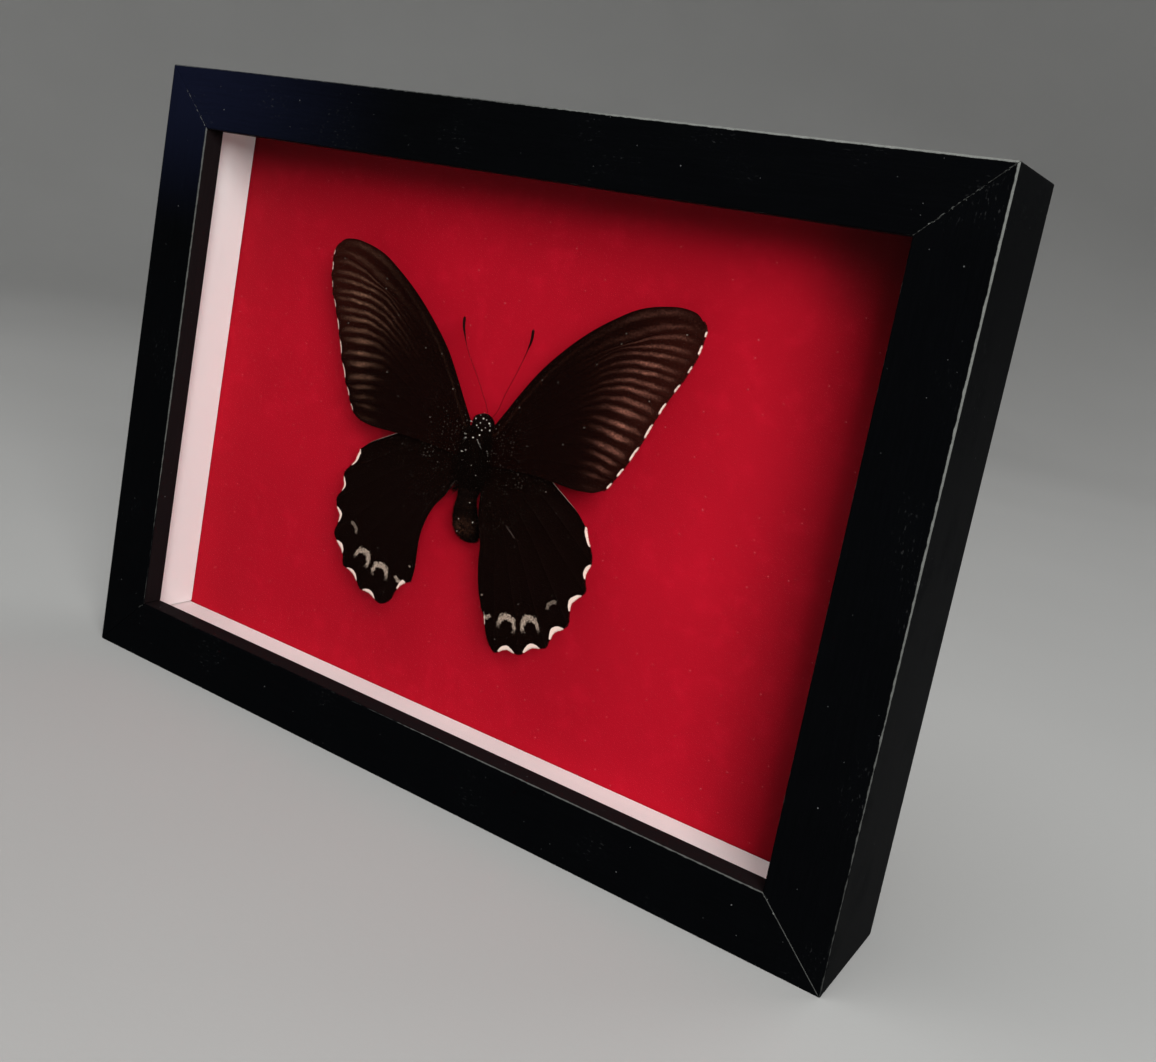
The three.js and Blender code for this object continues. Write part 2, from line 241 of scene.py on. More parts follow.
low, high = (np.array(corner) / MM for corner in cad_box)
WIDTH = high[0] - low[0]
HEIGHT = high[2] - low[2]
DEPTH = high[1] - low[1]
FRONT = low[1]
FACE = node_box("rail_bottom")[1][2]
GLASS_GAP = 0.3
# The lip's depth behind the front, and how thick the wall outside the rebate is.
LIP = node_box("glass_pane")[0][1] - FRONT - GLASS_GAP
WALL = node_box("glass_pane")[0][0] - low[0] - GLASS_GAP
EDGE = {"outer": 0.32, "inner": 0.3, "lip": 0.2, "back": 0.5}  # how round the edges are
SEAM = 0.035  # half the width of the hairline at a mitre
SOFTENED = 0.14  # how far the lacquer rounds over at a mitre


def unit(vectors):
    """The vectors, each brought to a length of 1."""
    return vectors / np.linalg.norm(vectors, axis=-1, keepdims=True)


def run_along(points):
    """How far along a line each of its points is."""
    return np.concatenate([[0], np.cumsum(np.linalg.norm(np.diff(points, axis=0), axis=1))])


def rounded(corners, support=0.25, steps=6):
    """A closed outline with each corner (x, y, radius) turned into an arc, with a point close by."""
    outline = []
    for index, (x, y, radius) in enumerate(corners):
        here = np.array((x, y))
        before = unit(np.array(corners[index - 1][:2]) - here)
        after = unit(np.array(corners[(index + 1) % len(corners)][:2]) - here)
        heart = here + (before + after) * radius
        outline.append(here + before * (radius + support))
        for step in range(steps + 1):
            turn = math.pi / 2 * step / steps
            outline.append(heart - after * radius * math.cos(turn) - before * radius * math.sin(turn))
        outline.append(here + after * (radius + support))
    return np.array(outline)


section = rounded([
    (WALL, DEPTH, 0.3),
    (0, DEPTH, EDGE["back"]),
    (0, 0, EDGE["outer"]),
    (FACE, 0, EDGE["inner"]),
    (FACE, LIP, EDGE["lip"]),
    (WALL, LIP, 0.1),
])
girth = run_along(section)
ahead = unit(np.roll(section, -1, axis=0) - np.roll(section, 1, axis=0))
inward = np.stack([-ahead[:, 1], ahead[:, 0]], 1)
# Where each edge is on the way round the section, which starts on the back.
outer_edge, inner_edge, lip_edge, back_edge = (
    girth[np.argmin(np.abs(section - corner).sum(1))]
    for corner in ((0, 0), (FACE, 0), (FACE, LIP), (0, DEPTH))
)


def tube_faces(rings, sides):
    """The faces of a closed tube: quads between its rings, and a cap at each end."""
    faces = grid_faces(rings, sides, closed=True)
    faces.append(list(range(sides))[::-1])
    faces.append([(rings - 1) * sides + k for k in range(sides)])
    return faces


def along_bar(*places):
    """A value at each share of a bar's length, from (share, value) places with straight lines between."""
    shares, values = zip(*places)
    return lambda share: np.interp(share, shares, values)


def paint(thing, name, values):
    """Keeps one number, or three, for each point of a piece, for its material to read."""
    values = np.asarray(values, np.float32)
    if values.ndim == 2:
        layer = thing.data.attributes.new(name, "FLOAT_VECTOR", "POINT")
        layer.data.foreach_set("vector", values.ravel())
    else:
        layer = thing.data.attributes.new(name, "FLOAT", "POINT")
        layer.data.foreach_set("value", values)


# Each length is built as the bottom one and turned about the frame's middle. Along it, one curve says
# how worn its outer front edge is and how strong the painted highlight on it is, and another how bright
# the painted highlight along its inner edge is. At each end, the mitre's hairline is hidden for a share
# of the face from outside, and is more or less unbroken.
LENGTHS = {
    "bottom": {
        "node": "rail_bottom", "turn": 0, "size": WIDTH, "reach": HEIGHT / 2,
        "edge_wear_and_highlight": along_bar((0, 0.12), (1, 0.12)), "line": along_bar((0.4, 0.0), (0.6, 0.8)),
        "mitres": [(0.86, 0.0), (0.0, 0.85)],
    },
    "top": {
        "node": "rail_top", "turn": 180, "size": WIDTH, "reach": HEIGHT / 2,
        "edge_wear_and_highlight": along_bar((0.35, 0.85), (0.55, 0.3), (0.8, 0.15), (0.93, 0.2), (0.98, 0.4)),
        "line": along_bar((0, 0.0), (1, 0.0)), "mitres": [(0.0, 0.35), (0.36, 0.1)],
    },
    "left": {
        "node": "stile_left", "turn": 90, "size": HEIGHT, "reach": WIDTH / 2,
        "edge_wear_and_highlight": along_bar((0, 0.12), (1, 0.05)), "line": along_bar((0.55, 1.0), (0.8, 0.15)),
        "mitres": [(0.36, 0.1), (0.86, 0.0)],
    },
    "right": {
        "node": "stile_right", "turn": -90, "size": HEIGHT, "reach": WIDTH / 2,
        "edge_wear_and_highlight": along_bar((0, 0.08), (0.15, 0.18), (0.45, 0.5), (0.75, 0.68)),
        "line": along_bar((0, 0.1), (1, 0.1)), "mitres": [(0.0, 0.85), (0.0, 0.35)],
    },
}
NEAR_MITRE = np.array([0, 0.03, 0.07, 0.14, 0.4, 1.0, 2.5])
MIDDLE_STEPS = 60
BEFORE_MITRE = 3  # how far from the mitres the even steps end


def moulding(word, bar):
    """One mitred length: its section set out along the bar, then turned to its side of the frame."""
    half = bar["size"] / 2 - SEAM * math.sqrt(2)
    even = half - FACE - BEFORE_MITRE
    middle = np.linspace(-1, 1, MIDDLE_STEPS + 1)[1:-1] * even
    stations = [("start", d) for d in NEAR_MITRE]
    stations += [("middle", x) for x in middle]
    stations += [("end", d) for d in NEAR_MITRE[::-1]]
    points = []
    along = []
    from_mitre = []
    for kind, value in stations:
        rounding = 0.0
        if kind != "middle" and value < SOFTENED:
            rounding = SOFTENED - math.sqrt(SOFTENED**2 - (SOFTENED - value) ** 2)
        line = section + inward * rounding
        span = half - line[:, 0]
        if kind == "middle":
            x = value + (np.sign(value) * (span - (half - FACE))) * (abs(value) / even)
        else:
            x = (value - span) if kind == "start" else (span - value)
        points.append(np.stack([x, line[:, 1] + FRONT, line[:, 0] - bar["reach"]], 1))
        along.append(x)
        from_mitre.append(span - np.abs(x))
    points = np.concatenate(points)
    turn = math.radians(bar["turn"])
    x = points[:, 0] * math.cos(turn) + points[:, 2] * math.sin(turn)
    z = points[:, 2] * math.cos(turn) - points[:, 0] * math.sin(turn)
    placed = np.stack([x, points[:, 1], z + HEIGHT / 2], 1)
    faces = tube_faces(len(stations), len(section))
    thing = mesh_of(f"moulding_{word}", placed, faces, sharp=30)
    along = np.concatenate(along)
    share = along / bar["size"] + 0.5
    sides = np.tile(girth, len(stations))
    paint(thing, "bar", np.stack([along, sides, np.full(len(along), bar["turn"])], 1))
    paint(thing, "from_mitre", np.concatenate(from_mitre))
    paint(thing, "edge_wear_and_highlight", bar["edge_wear_and_highlight"](share))
    paint(thing, "line", bar["line"](share))
    first, last = bar["mitres"]
    paint(thing, "hidden", np.where(share < 0.5, first[0], last[0]))
    paint(thing, "unbroken", np.where(share < 0.5, first[1], last[1]))
    return thing


def read_place(nodes, name):
    """The place that paint kept on the piece under this name."""
    return nodes.node("Attribute", {"attribute_name": name}, {}, "Vector")


def read_numbers(nodes, *names):
    """The numbers that paint kept on the piece under these names."""
    return [nodes.node("Attribute", {"attribute_name": name}, {}, "Fac") for name in names]


def xyz_of(place):
    """A place's three numbers."""
    return [place.node("SeparateXYZ", {}, {"Vector": place}, axis) for axis in "XYZ"]


def stretched(spot, factors):
    """A place whose three numbers are multiplied, so that what is drawn on it is drawn out."""
    return spot.node("VectorMath", {"operation": "MULTIPLY"}, {0: spot, 1: factors})


def ease(value, low, high):
    """0 below low, 1 above high, and smooth between them. The other way round if low is above high."""
    settings = {"interpolation_type": "SMOOTHSTEP"}
    return value.node("MapRange", settings, {"Value": value, "From Min": low, "From Max": high})


def specks(spot, pitch, radius, share):
    """Uneven dots on a flat place, one to each pitch, of which only a share is there."""
    cells = spot.node("TexVoronoi", {"voronoi_dimensions": "2D"}, {"Vector": spot, "Scale": 1 / pitch})
    drawn = Link(spot.tree, cells.socket.node.outputs["Color"])
    lot = drawn.node("SeparateColor", {}, {"Color": drawn})
    pale = Link(spot.tree, lot.socket.node.outputs["Green"])
    there = ease(lot, 1 - share, 1.02 - share)
    ragged = mottle(spot, radius * 1.5) * (0.8 * radius / pitch)
    return ease(cells + ragged, radius / pitch * 1.4, radius / pitch) * there * (0.35 + pale * 0.65)


material, nodes = new_finish("black_satin_lacquer")
bar_spot = read_place(nodes, "bar")
side = xyz_of(bar_spot)[1]
front_side = ease(abs(side - (outer_edge + inner_edge) / 2), FACE / 2 + 0.3, FACE / 2 - 0.3)
edge_wear_and_highlight, line, from_mitre = read_numbers(nodes, "edge_wear_and_highlight", "line", "from_mitre")
unbroken, hidden = read_numbers(nodes, "unbroken", "hidden")
grain = mottle(stretched(bar_spot, (0.035, 1.0, 1.0)), 0.35, 3.0)
cloud = mottle(bar_spot, 14.0, 3.0)
nick = mottle(stretched(bar_spot, (0.5, 1.0, 1.0)), 0.7, 4.0)
off_outer = abs(side - outer_edge)
off_inner = abs(side - inner_edge)
off_back = abs(side - back_edge)
# The outer front edge is pale grey from wear and from a painted highlight, strongest on the right length and
# the top.
outer_wear_and_highlight = ease(0.08 + edge_wear_and_highlight * 0.36 - off_outer + (nick - 0.5) * (0.6 - edge_wear_and_highlight * 0.4), 0.0, 0.1)
# Painted highlight: a pale line along the inner front edge, on the left and bottom lengths.
inner_edge_highlight = ease(line * 0.24 - off_inner + (nick - 0.5) * 0.3, 0.0, 0.1)
worn_back = ease(0.2 - off_back + (nick - 0.5) * 1.1, 0.1, 0.3)
inside = ease((side - outer_edge) / FACE - hidden, 0.0, 0.06)
dashes = mottle(bar_spot, 0.8)
mitre_line = ease(from_mitre + (0.6 - dashes) * 1.2 * (1 - unbroken), 0.14, 0.07)
chip_size = mottle(bar_spot, 0.6)
chips = ease(chip_size - from_mitre * 0.28, 0.62, 0.66) * ease(side - outer_edge, 3.0, 8.0)
at_mitre = (mitre_line * 0.35 | chips * 0.7) * front_side * inside
dust = specks(bar_spot, 1.7, 0.09, 0.03) | specks(bar_spot, 8.0, 0.17, 0.1)
scuffs = mottle(stretched(bar_spot, (0.4, 1.0, 1.0)), 0.5, 4.0)
scuffed = ease(scuffs, 0.6, 0.72) * ease(cloud, 0.55, 0.7)
smudge = ease(cloud, 0.5, 0.75)
lip_wall_reflection = ease(abs(side - (inner_edge + lip_edge) / 2), LIP / 2 - 0.1, LIP / 2 - 0.5)
x, _, z = xyz_of(place_mm(nodes))
# Painted reflection: a faint navy sheen in the front face's colour towards the top left corner.
navy_reflection = ease(x, -22.0, -96.0) * ease(z, 106.0, 142.0) * front_side
black = tint(cloud, (0.0007, 0.0008, 0.0010, 1), (0.0014, 0.0016, 0.0019, 1))
black = tint(grain * 0.3, black, (0.0035, 0.0039, 0.0048, 1))
black = tint(navy_reflection * (0.6 + grain * 0.6), black, (0.0050, 0.0064, 0.0165, 1))
# Painted reflection: the lip's inner wall is tinted dark plum for the red card that it reflects.
black = tint(lip_wall_reflection * (0.5 + grain * 0.5), black, (0.0125, 0.0088, 0.0092, 1))
back_side = ease(side, back_edge + 0.2, back_edge - 0.8)
thin_coat = back_side | ease(side, lip_edge + 4.0, lip_edge + 7.0)
black = tint(thin_coat * ease(grain, 0.3, 0.75), black, (0.042, 0.029, 0.020, 1))
dusty = tint(dust * 0.33 | scuffed * 0.04, black, (0.36, 0.37, 0.37, 1))
worn_and_highlit_grey = tint(nick, (0.13, 0.136, 0.126, 1), (0.26, 0.268, 0.25, 1))
# Pale grey where the lacquer is worn, at the mitres, and where highlights are painted on the front edges.
worn_and_highlit = outer_wear_and_highlight * (0.03 + 0.97 * edge_wear_and_highlight) | inner_edge_highlight * 0.38 | worn_back * 0.2 | at_mitre
coat(nodes, {
    "Base Color": tint(worn_and_highlit, dusty, worn_and_highlit_grey),
    "Roughness": 0.42 + smudge * 0.06 + grain * 0.08 + worn_and_highlit * 0.25,
    "Specular IOR Level": 0.004,
    "Normal": relief(grain * 0.012 - worn_and_highlit * 0.05 + dust * 0.03),
})
for word, bar in LENGTHS.items():
    length = moulding(word, bar)
    length.data.materials.append(material)
    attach(length, "root")
    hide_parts(bar["node"])


# The glass: a clear pane with a thin coating that keeps reflections down, held behind the lip.
# It lets the lamps through to the card and the butterfly.
material, nodes = new_finish("coated_glass")
coat(nodes, {
    "Base Color": (0.985, 0.992, 0.99, 1),
    "Roughness": 0.0,
    "Transmission Weight": 1.0,
    "IOR": 1.04,
})
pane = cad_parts["glass_pane"]
pane.data.materials.clear()
pane.data.materials.append(material)
pane.visible_shadow = False
pane.visible_diffuse = False


# The four spacer strips: white foam board, cut clean. They stand on edge in the rebate, butted at the
# corners, and keep the card a butterfly's height behind the glass.
def dress(names, material):
    """Gives CAD nodes that stay as they are their finish."""
    for name in names:
        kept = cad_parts[name]
        kept.data.materials.clear()
        kept.data.materials.append(material)


def flat_place(nodes):
    """Where a point is on a flat side of a board, in millimetres, whichever way the side faces."""
    x, y, z = xyz_of(place_mm(nodes))
    return nodes.node("CombineXYZ", {}, {"X": x + y, "Y": z + y})


material, nodes = new_finish("white_foam_board")
spot = place_mm(nodes)
fibre = mottle(spot, 0.5, 3.0)
flecks = specks(flat_place(nodes), 7.0, 0.2, 0.04)
paper_white = tint(mottle(spot, 18.0), (0.80, 0.755, 0.745, 1), (0.85, 0.805, 0.79, 1))
coat(nodes, {
    "Base Color": tint(flecks * 0.6, paper_white, (0.30, 0.22, 0.18, 1)),
    "Roughness": 0.62 + fibre * 0.15,
    "Specular IOR Level": 0.3,
    "Normal": relief(fibre * 0.015),
})
dress(["spacer_top", "spacer_bottom", "spacer_left", "spacer_right"], material)


# The background card: a sheet of crimson paper-faced card, matt, with a little pale dust on it. Painted
# shade from the moulding darkens its colour along the top, the right side, their corner and the top left.
PAINTED_SHADE_FROM = {"top": 134.0, "right": 78.6}  # where the card goes out of the light
material, nodes = new_finish("crimson_card")
spot = place_mm(nodes)
pulp = mottle(spot, 0.35, 4.0)
blotch = mottle(spot, 24.0, 3.0)
lint = specks(flat_place(nodes), 4.0, 0.13, 0.2)
crimson = tint(blotch, (0.355, 0.0014, 0.0105, 1), (0.455, 0.0022, 0.0150, 1))
crimson = tint(pulp * 0.35, crimson, (0.31, 0.0010, 0.0085, 1))
crimson = tint(ease(mottle(spot, 4.0, 3.0), 0.5, 0.75) * 0.35, crimson, (0.52, 0.0040, 0.0200, 1))
x, _, z = xyz_of(spot)
# Painted shade: the colour turns to a dark red towards the top edge, the right edge, their corner and the
# top left, where the moulding shades the card.
from_top = PAINTED_SHADE_FROM["top"] - z
from_right = PAINTED_SHADE_FROM["right"] - x
from_corner = (from_top * from_top + from_right * from_right) ** 0.5
painted_shade_top = ease(from_top, 11.0, 0.5) * 0.62
painted_shade_right = ease(from_right, 4.5, 0.0) * 0.3 + ease(from_right, 20.0, 3.0) * 0.15
painted_shade_corner = ease(from_corner, 25.0, 6.0) * 0.7
painted_shade_top_left = ease(x, -30.0, -90.0) * ease(z, 80.0, 130.0) * 0.28
outside_painted_shade = (1 - painted_shade_top) * (1 - painted_shade_right) * (1 - painted_shade_corner) * (1 - painted_shade_top_left)
crimson = tint(outside_painted_shade, (0.030, 0.0002, 0.0008, 1), crimson)
coat(nodes, {
    "Base Color": tint(lint * 0.6 * outside_painted_shade, crimson, (0.75, 0.35, 0.33, 1)),
    "Roughness": 0.7 + pulp * 0.12,
    "Specular IOR Level": 0.1,
    "Normal": relief(pulp * 0.02 + lint * 0.05),
})
dress(["background_card"], material)


# The back board: brown hardboard, smooth side out, with the pressed fibres showing. It is sawn to the
# rebate's size and backs the card.
material, nodes = new_finish("brown_hardboard")
spot = place_mm(nodes)
fibres = mottle(stretched(spot, (1.0, 1.0, 2.6)), 0.9, 5.0)
cloud = mottle(spot, 22.0, 3.0)
brown = tint(cloud, (0.155, 0.078, 0.036, 1), (0.235, 0.128, 0.062, 1))
brown = tint(ease(fibres, 0.42, 0.7), brown, (0.34, 0.2, 0.105, 1))
brown = tint(specks(flat_place(nodes), 2.4, 0.35, 0.25) * 0.7, brown, (0.06, 0.03, 0.016, 1))
coat(nodes, {
    "Base Color": brown,
    "Roughness": 0.62 + fibres * 0.2,
    "Specular IOR Level": 0.35,
    "Normal": relief(fibres * 0.06 + cloud * 0.15),
})
dress(["back_board"], material)


# The six retaining points: strips of bright zinc-plated sheet steel, stamped out and pushed into the
# rebate's wall. They hold the back board in.
def plated_steel(name, along, brush, patch, dull, bright, smooth, depth):
    """Plated sheet steel, brushed along the factor under 1, and patchy between two colours."""
    material, nodes = new_finish(name)
    spot = place_mm(nodes)
    brushed = mottle(stretched(spot, along), brush, 3.0)
    patchy = mottle(spot, patch, 3.0)
    coat(nodes, {
        "Base Color": tint(patchy, dull, bright),
        "Metallic": 1.0,
        "Roughness": smooth + patchy * 0.2 + brushed * 0.08,
        "Normal": relief(brushed * depth),
    })
    return material


zinc = plated_steel("zinc_plated_steel", (1.0, 1.0, 0.12), 0.12, 1.6,
                    (0.42, 0.43, 0.45, 1), (0.62, 0.63, 0.64, 1), 0.26, 0.01)
dress([f"retaining_point_{number}" for number in range(1, 7)], zinc)


# The hanger: a sawtooth strip pressed from brass-plated sheet steel. Two domed pins fix it to the
# back board, near the top.
brass = plated_steel("brass_plate", (0.1, 1.0, 1.0), 0.14, 3.0,
                     (0.50, 0.33, 0.12, 1), (0.74, 0.54, 0.25, 1), 0.22, 0.012)
dress(["hanger_plate", "hanger_pin_left", "hanger_pin_right"], brass)


# The butterfly's body: head, thorax and abdomen, dried black. It is furred all over, dotted white on
# the head, and ends in a fluffy brown tuft. It is glued to the card by its underside.
# Lengths here are u across, v towards the head and h up off the card, from the butterfly's middle.
BUTTERFLY = {"x": -2.8, "z": 82.0}
CARD_FRONT = node_box("background_card")[0][1]
FINE_STEPS = 40  # how finely a curve is measured between two of its points
rng = np.random.default_rng(7)


def pinned(places, turned=0.0):
    """Row-frame places of points given as (u, v, h)."""
    places = np.asarray(places, float)
    turn = math.radians(turned)
    x = places[:, 0] * math.cos(turn) - places[:, 1] * math.sin(turn)
    z = places[:, 0] * math.sin(turn) + places[:, 1] * math.cos(turn)
    return np.stack([BUTTERFLY["x"] + x, CARD_FRONT - places[:, 2], BUTTERFLY["z"] + z], 1)


def curve_through(knots, points, wanted):
    """Places on a smooth curve that goes through the points at these knots."""
    slopes = np.gradient(points, knots, axis=0)
    left = np.clip(np.searchsorted(knots, wanted, "right") - 1, 0, len(knots) - 2)
    gap = (knots[left + 1] - knots[left])[:, None]
    t = ((wanted - knots[left]) / gap[:, 0])[:, None]
    return (
        (2 * t**3 - 3 * t**2 + 1) * points[left]
        + (t**3 - 2 * t**2 + t) * gap * slopes[left]
        + (3 * t**2 - 2 * t**3) * points[left + 1]
        + (t**3 - t**2) * gap * slopes[left + 1]
    )


def smooth_line(points, shares):
    """Places on a smooth curve through the points, at these shares of its length."""
    points = np.asarray(points, float)
    knots = run_along(points[:, :2])
    curve = curve_through(knots, points, np.linspace(0, knots[-1], FINE_STEPS * len(points)))
    run = run_along(curve[:, :2])
    wanted = np.asarray(shares) * run[-1]
    return np.stack([np.interp(wanted, run, curve[:, k]) for k in range(points.shape[1])], 1)


# From the tail forward: v, u, height of the middle, half width, half height.
BODY = [
    (-29.6, 0.4, 2.9, 0.8, 0.6),
    (-28.8, 0.1, 2.9, 2.0, 1.6),
    (-27.2, -0.5, 3.0, 2.8, 2.4),
    (-25.0, -1.1, 3.2, 2.9, 2.7),
    (-22.5, -1.6, 3.3, 2.5, 2.5),
    (-19.5, -1.8, 3.4, 2.2, 2.3),
    (-17.2, -1.3, 3.6, 2.65, 2.4),
    (-14.5, -0.6, 4.1, 3.2, 2.9),
    (-12.0, 0.0, 4.4, 3.2, 3.3),
    (-9.0, 0.0, 4.5, 3.1, 3.4),
    (-6.5, 0.1, 4.8, 2.85, 2.9),
    (-4.9, 0.0, 4.9, 3.0, 2.2),
    (-4.2, 0.0, 4.9, 2.8, 1.95),
    (-3.2, 0.3, 5.3, 2.5, 2.05),
    (-1.8, 0.3, 5.3, 2.45, 1.95),
    (-0.6, 0.3, 5.2, 1.85, 1.45),
    (0.0, 0.3, 5.1, 0.8, 0.7),
]
BODY_RINGS = 130
BODY_SIDES = 44
SEGMENT = 1.95
stations = smooth_line(BODY, np.linspace(0, 1, BODY_RINGS))


def body_at(v):
    """How far across the body's middle is at v, how high it is, and its half width and half height."""
    return [np.interp(v, stations[:, 0], stations[:, k]) for k in (1, 2, 3, 4)]


def on_body(v, angle):
    """The skin's place and the way out of it, at v along the body and an angle round it."""
    v = np.asarray(v, float)
    across, middle, wide, tall = body_at(v)
    ringed = 1 + 0.03 * np.abs(np.sin(np.pi * v / SEGMENT)) * np.clip((-15.5 - v) / 2, 0, 1)
    wide = wide * ringed
    tall = tall * ringed
    skin = np.stack([across + wide * np.cos(angle), v, middle + tall * np.sin(angle)], -1)
    out = np.stack([np.cos(angle) / wide, 0 * v, np.sin(angle) / tall], -1)
    return skin, unit(out)


turns = 2 * np.pi * np.arange(BODY_SIDES) / BODY_SIDES
body_points = np.concatenate([on_body(np.full(BODY_SIDES, v), turns)[0] for v in stations[:, 0]])
body_faces = tube_faces(BODY_RINGS, BODY_SIDES)


def hairs(roots, ways, lengths, widths, droop, bands=3):
    """Tapered flat hairs. Each bends towards its droop as it grows, and ends in a point."""
    points = []
    faces = []
    for root, way, length, width, bend in zip(roots, ways, lengths, widths, droop):
        side = np.cross(way, rng.normal(size=3))
        side = side / (np.linalg.norm(side) + 1e-9) * width / 2
        first = len(points)
        for band in range(bands):
            part = band / bands
            middle = root + way * length * part + bend * length * part**2
            points.append(middle - side * (1 - part * 0.7))
            points.append(middle + side * (1 - part * 0.7))
        points.append(root + way * length + bend * length)
        for band in range(bands - 1):
            a = first + 2 * band
            faces.append((a, a + 1, a + 3, a + 2))
        faces.append((len(points) - 3, len(points) - 2, len(points) - 1))
    return np.array(points), faces


body_parts = [body_points]
body_tones = [np.full(len(body_points), 0.02)]


def grow(points, faces, tone):
    """Adds points and faces to the body. Tone 0 is black, 0.55 brown and 1 white."""
    offset = sum(len(part) for part in body_parts)
    body_faces.extend(tuple(corner + offset for corner in face) for face in faces)
    body_parts.append(points)
    body_tones.append(np.clip(tone, 0, 1))


# The patches of fur: their span along the body and round it in half turns, how many hairs, how long
# they are, and how far they lean to the tail and stand off the skin.
FUR = [
    ("tail", (-29.4, -21.5), (-0.1, 1.1), 3600, 0.8, 0.0, 0.45),
    ("abdomen", (-25.0, -15.5), (-0.1, 1.1), 2600, 0.6, -1.1, 0.5),
    ("thorax", (-16.0, -4.7), (-0.1, 1.1), 6000, 1.5, -0.8, 0.8),
    ("right_flank", (-16.5, -4.0), (0.06, 0.3), 1100, 2.5, -0.6, 1.4),
    ("left_flank", (-18.0, -2.9), (0.7, 0.94), 1300, 2.6, -0.6, 1.4),
    ("head", (-4.9, -0.3), (-0.1, 1.1), 1500, 0.45, 0.1, 0.8),
]
FLUFF = {"heart": (-0.2, -25.8), "wide": 1.9}
for name, span, around, count, longest, lean, stand in FUR:
    v = rng.uniform(*span, count)
    roots, out = on_body(v, rng.uniform(*around, count) * np.pi)
    ways = out * stand + (0, lean, 0) + rng.normal(scale=0.3, size=out.shape)
    away = roots[:, :2] - FLUFF["heart"]
    from_heart = np.linalg.norm(away, axis=1)
    if name == "tail":
        ways[:, :2] += away / from_heart[:, None] * 0.9
    near_ends = np.minimum(v + 29.9, 0.6 - v).clip(0.25, 1.2) / 1.2
    long = longest * rng.uniform(0.5, 1.15, count) * np.maximum(near_ends, 0.35)
    wide = rng.uniform(0.05, 0.09, count)
    droop = np.stack([0 * v, np.full(count, -0.15 if name != "tail" else 0.0), np.full(count, -0.14)], 1)
    points, faces = hairs(roots - out * 0.05, unit(ways), long, wide, droop)
    tone = 0.03 + rng.uniform(0, 0.1, count)
    if name in ("tail", "abdomen"):
        brown = np.exp(-((from_heart / FLUFF["wide"]) ** 2)) * (out[:, 2] > 0)
        joint = np.abs(np.cos(np.pi * v / SEGMENT)) ** 8 * (v > -22) * 0.12
        tone = tone + brown * rng.uniform(0.05, 0.65, count) + joint
    grow(points, faces, np.repeat(tone, len(points) // count))

# The eyes, smooth black domes at the sides of the head.
EYE = {"u": 1.75, "v": -2.1, "h": 5.2, "half": (0.95, 1.15, 1.15), "rings": 13, "sides": 24}
HEAD_MIDDLE = 0.3
for side in (-1, 1):
    dome = []
    for ring in range(EYE["rings"]):
        lift = math.pi * (ring / (EYE["rings"] - 1) - 0.5)
        for k in range(EYE["sides"]):
            turn = 2 * math.pi * k / EYE["sides"]
            dome.append((math.cos(lift) * math.cos(turn), math.cos(lift) * math.sin(turn), math.sin(lift)))
    dome = np.array(dome) * EYE["half"] + (HEAD_MIDDLE + EYE["u"] * side, EYE["v"], EYE["h"])
    grow(dome, grid_faces(EYE["rings"], EYE["sides"], closed=True), np.zeros(len(dome)))

# White scale tufts: their u, v and radius. The first ones are on the head, and the rest are flecks down
# the thorax and the abdomen. The collar is two rows of small ones.
TUFTS = [
    (-0.1, -0.3, 0.11), (-0.76, -1.2, 0.22), (1.04, -0.8, 0.21), (0.8, -1.8, 0.14), (2.38, -1.6, 0.21),
    (1.38, -3.3, 0.15), (2.7, -3.1, 0.22), (0.94, -4.5, 0.19), (2.6, -2.1, 0.11), (0.11, -2.5, 0.17),
    (2.0, -2.6, 0.12), (1.76, -0.95, 0.11), (0.61, -2.9, 0.1), (-2.0, -2.2, 0.14), (-0.17, -5.3, 0.2),
    (-2.6, -5.2, 0.2), (-1.2, -8.4, 0.12), (2.7, -7.7, 0.16), (2.8, -8.2, 0.2), (2.9, -8.7, 0.13),
    (-2.1, -9.0, 0.13), (3.0, -9.9, 0.11), (0.8, -11.3, 0.11), (1.1, -16.5, 0.11), (-0.1, -20.3, 0.1),
    (1.3, -24.5, 0.2), (-1.3, -24.3, 0.1), (-1.7, -27.4, 0.12), (-1.9, -10.9, 0.1), (1.6, -13.4, 0.12),
]
TUFT_SIDES = 9
COLLAR = [[(-1.9, -5.8), (-2.3, -6.6), (-2.5, -7.3)], [(0.84, -5.5), (1.5, -6.4), (2.0, -7.3)]]


def tuft(u, v, radius):
    """A low ragged dome of pale scales that stands on the fur."""
    centre, _, wide, _ = body_at(v)
    sideways = np.clip((u - centre) / wide, -0.93, 0.93)
    spot, out = on_body(np.array([v]), np.array([math.acos(sideways)]))
    out = out[0]
    lift = np.interp(v, (-30, -24, -15, -5, -4), (0.3, 0.2, 0.5, 0.5, 0.12)) + 0.4 * (u < -1.4) * (v > -10)
    spot = spot[0] + out * lift
    right = unit(np.cross(out, (0, 1, 0)))
    up = np.cross(right, out)
    ring = []
    for k in range(TUFT_SIDES):
        turn = 2 * math.pi * k / TUFT_SIDES
        reach = radius * rng.uniform(0.7, 1.2)
        ring.append(spot + (right * math.cos(turn) + up * math.sin(turn)) * reach)
    inner = [spot + (place - spot) * 0.5 + out * radius * 0.35 for place in ring]
    points = np.array(ring + inner + [spot + out * radius * 0.5] + [spot - out * (lift + 0.1)])
    top = 2 * TUFT_SIDES
    following = [(k + 1) % TUFT_SIDES for k in range(TUFT_SIDES)]
    faces = [(k, after, TUFT_SIDES + after, TUFT_SIDES + k) for k, after in enumerate(following)]
    faces += [(TUFT_SIDES + k, TUFT_SIDES + after, top) for k, after in enumerate(following)]
    faces += [(after, k, top + 1) for k, after in enumerate(following)]
    return points, faces


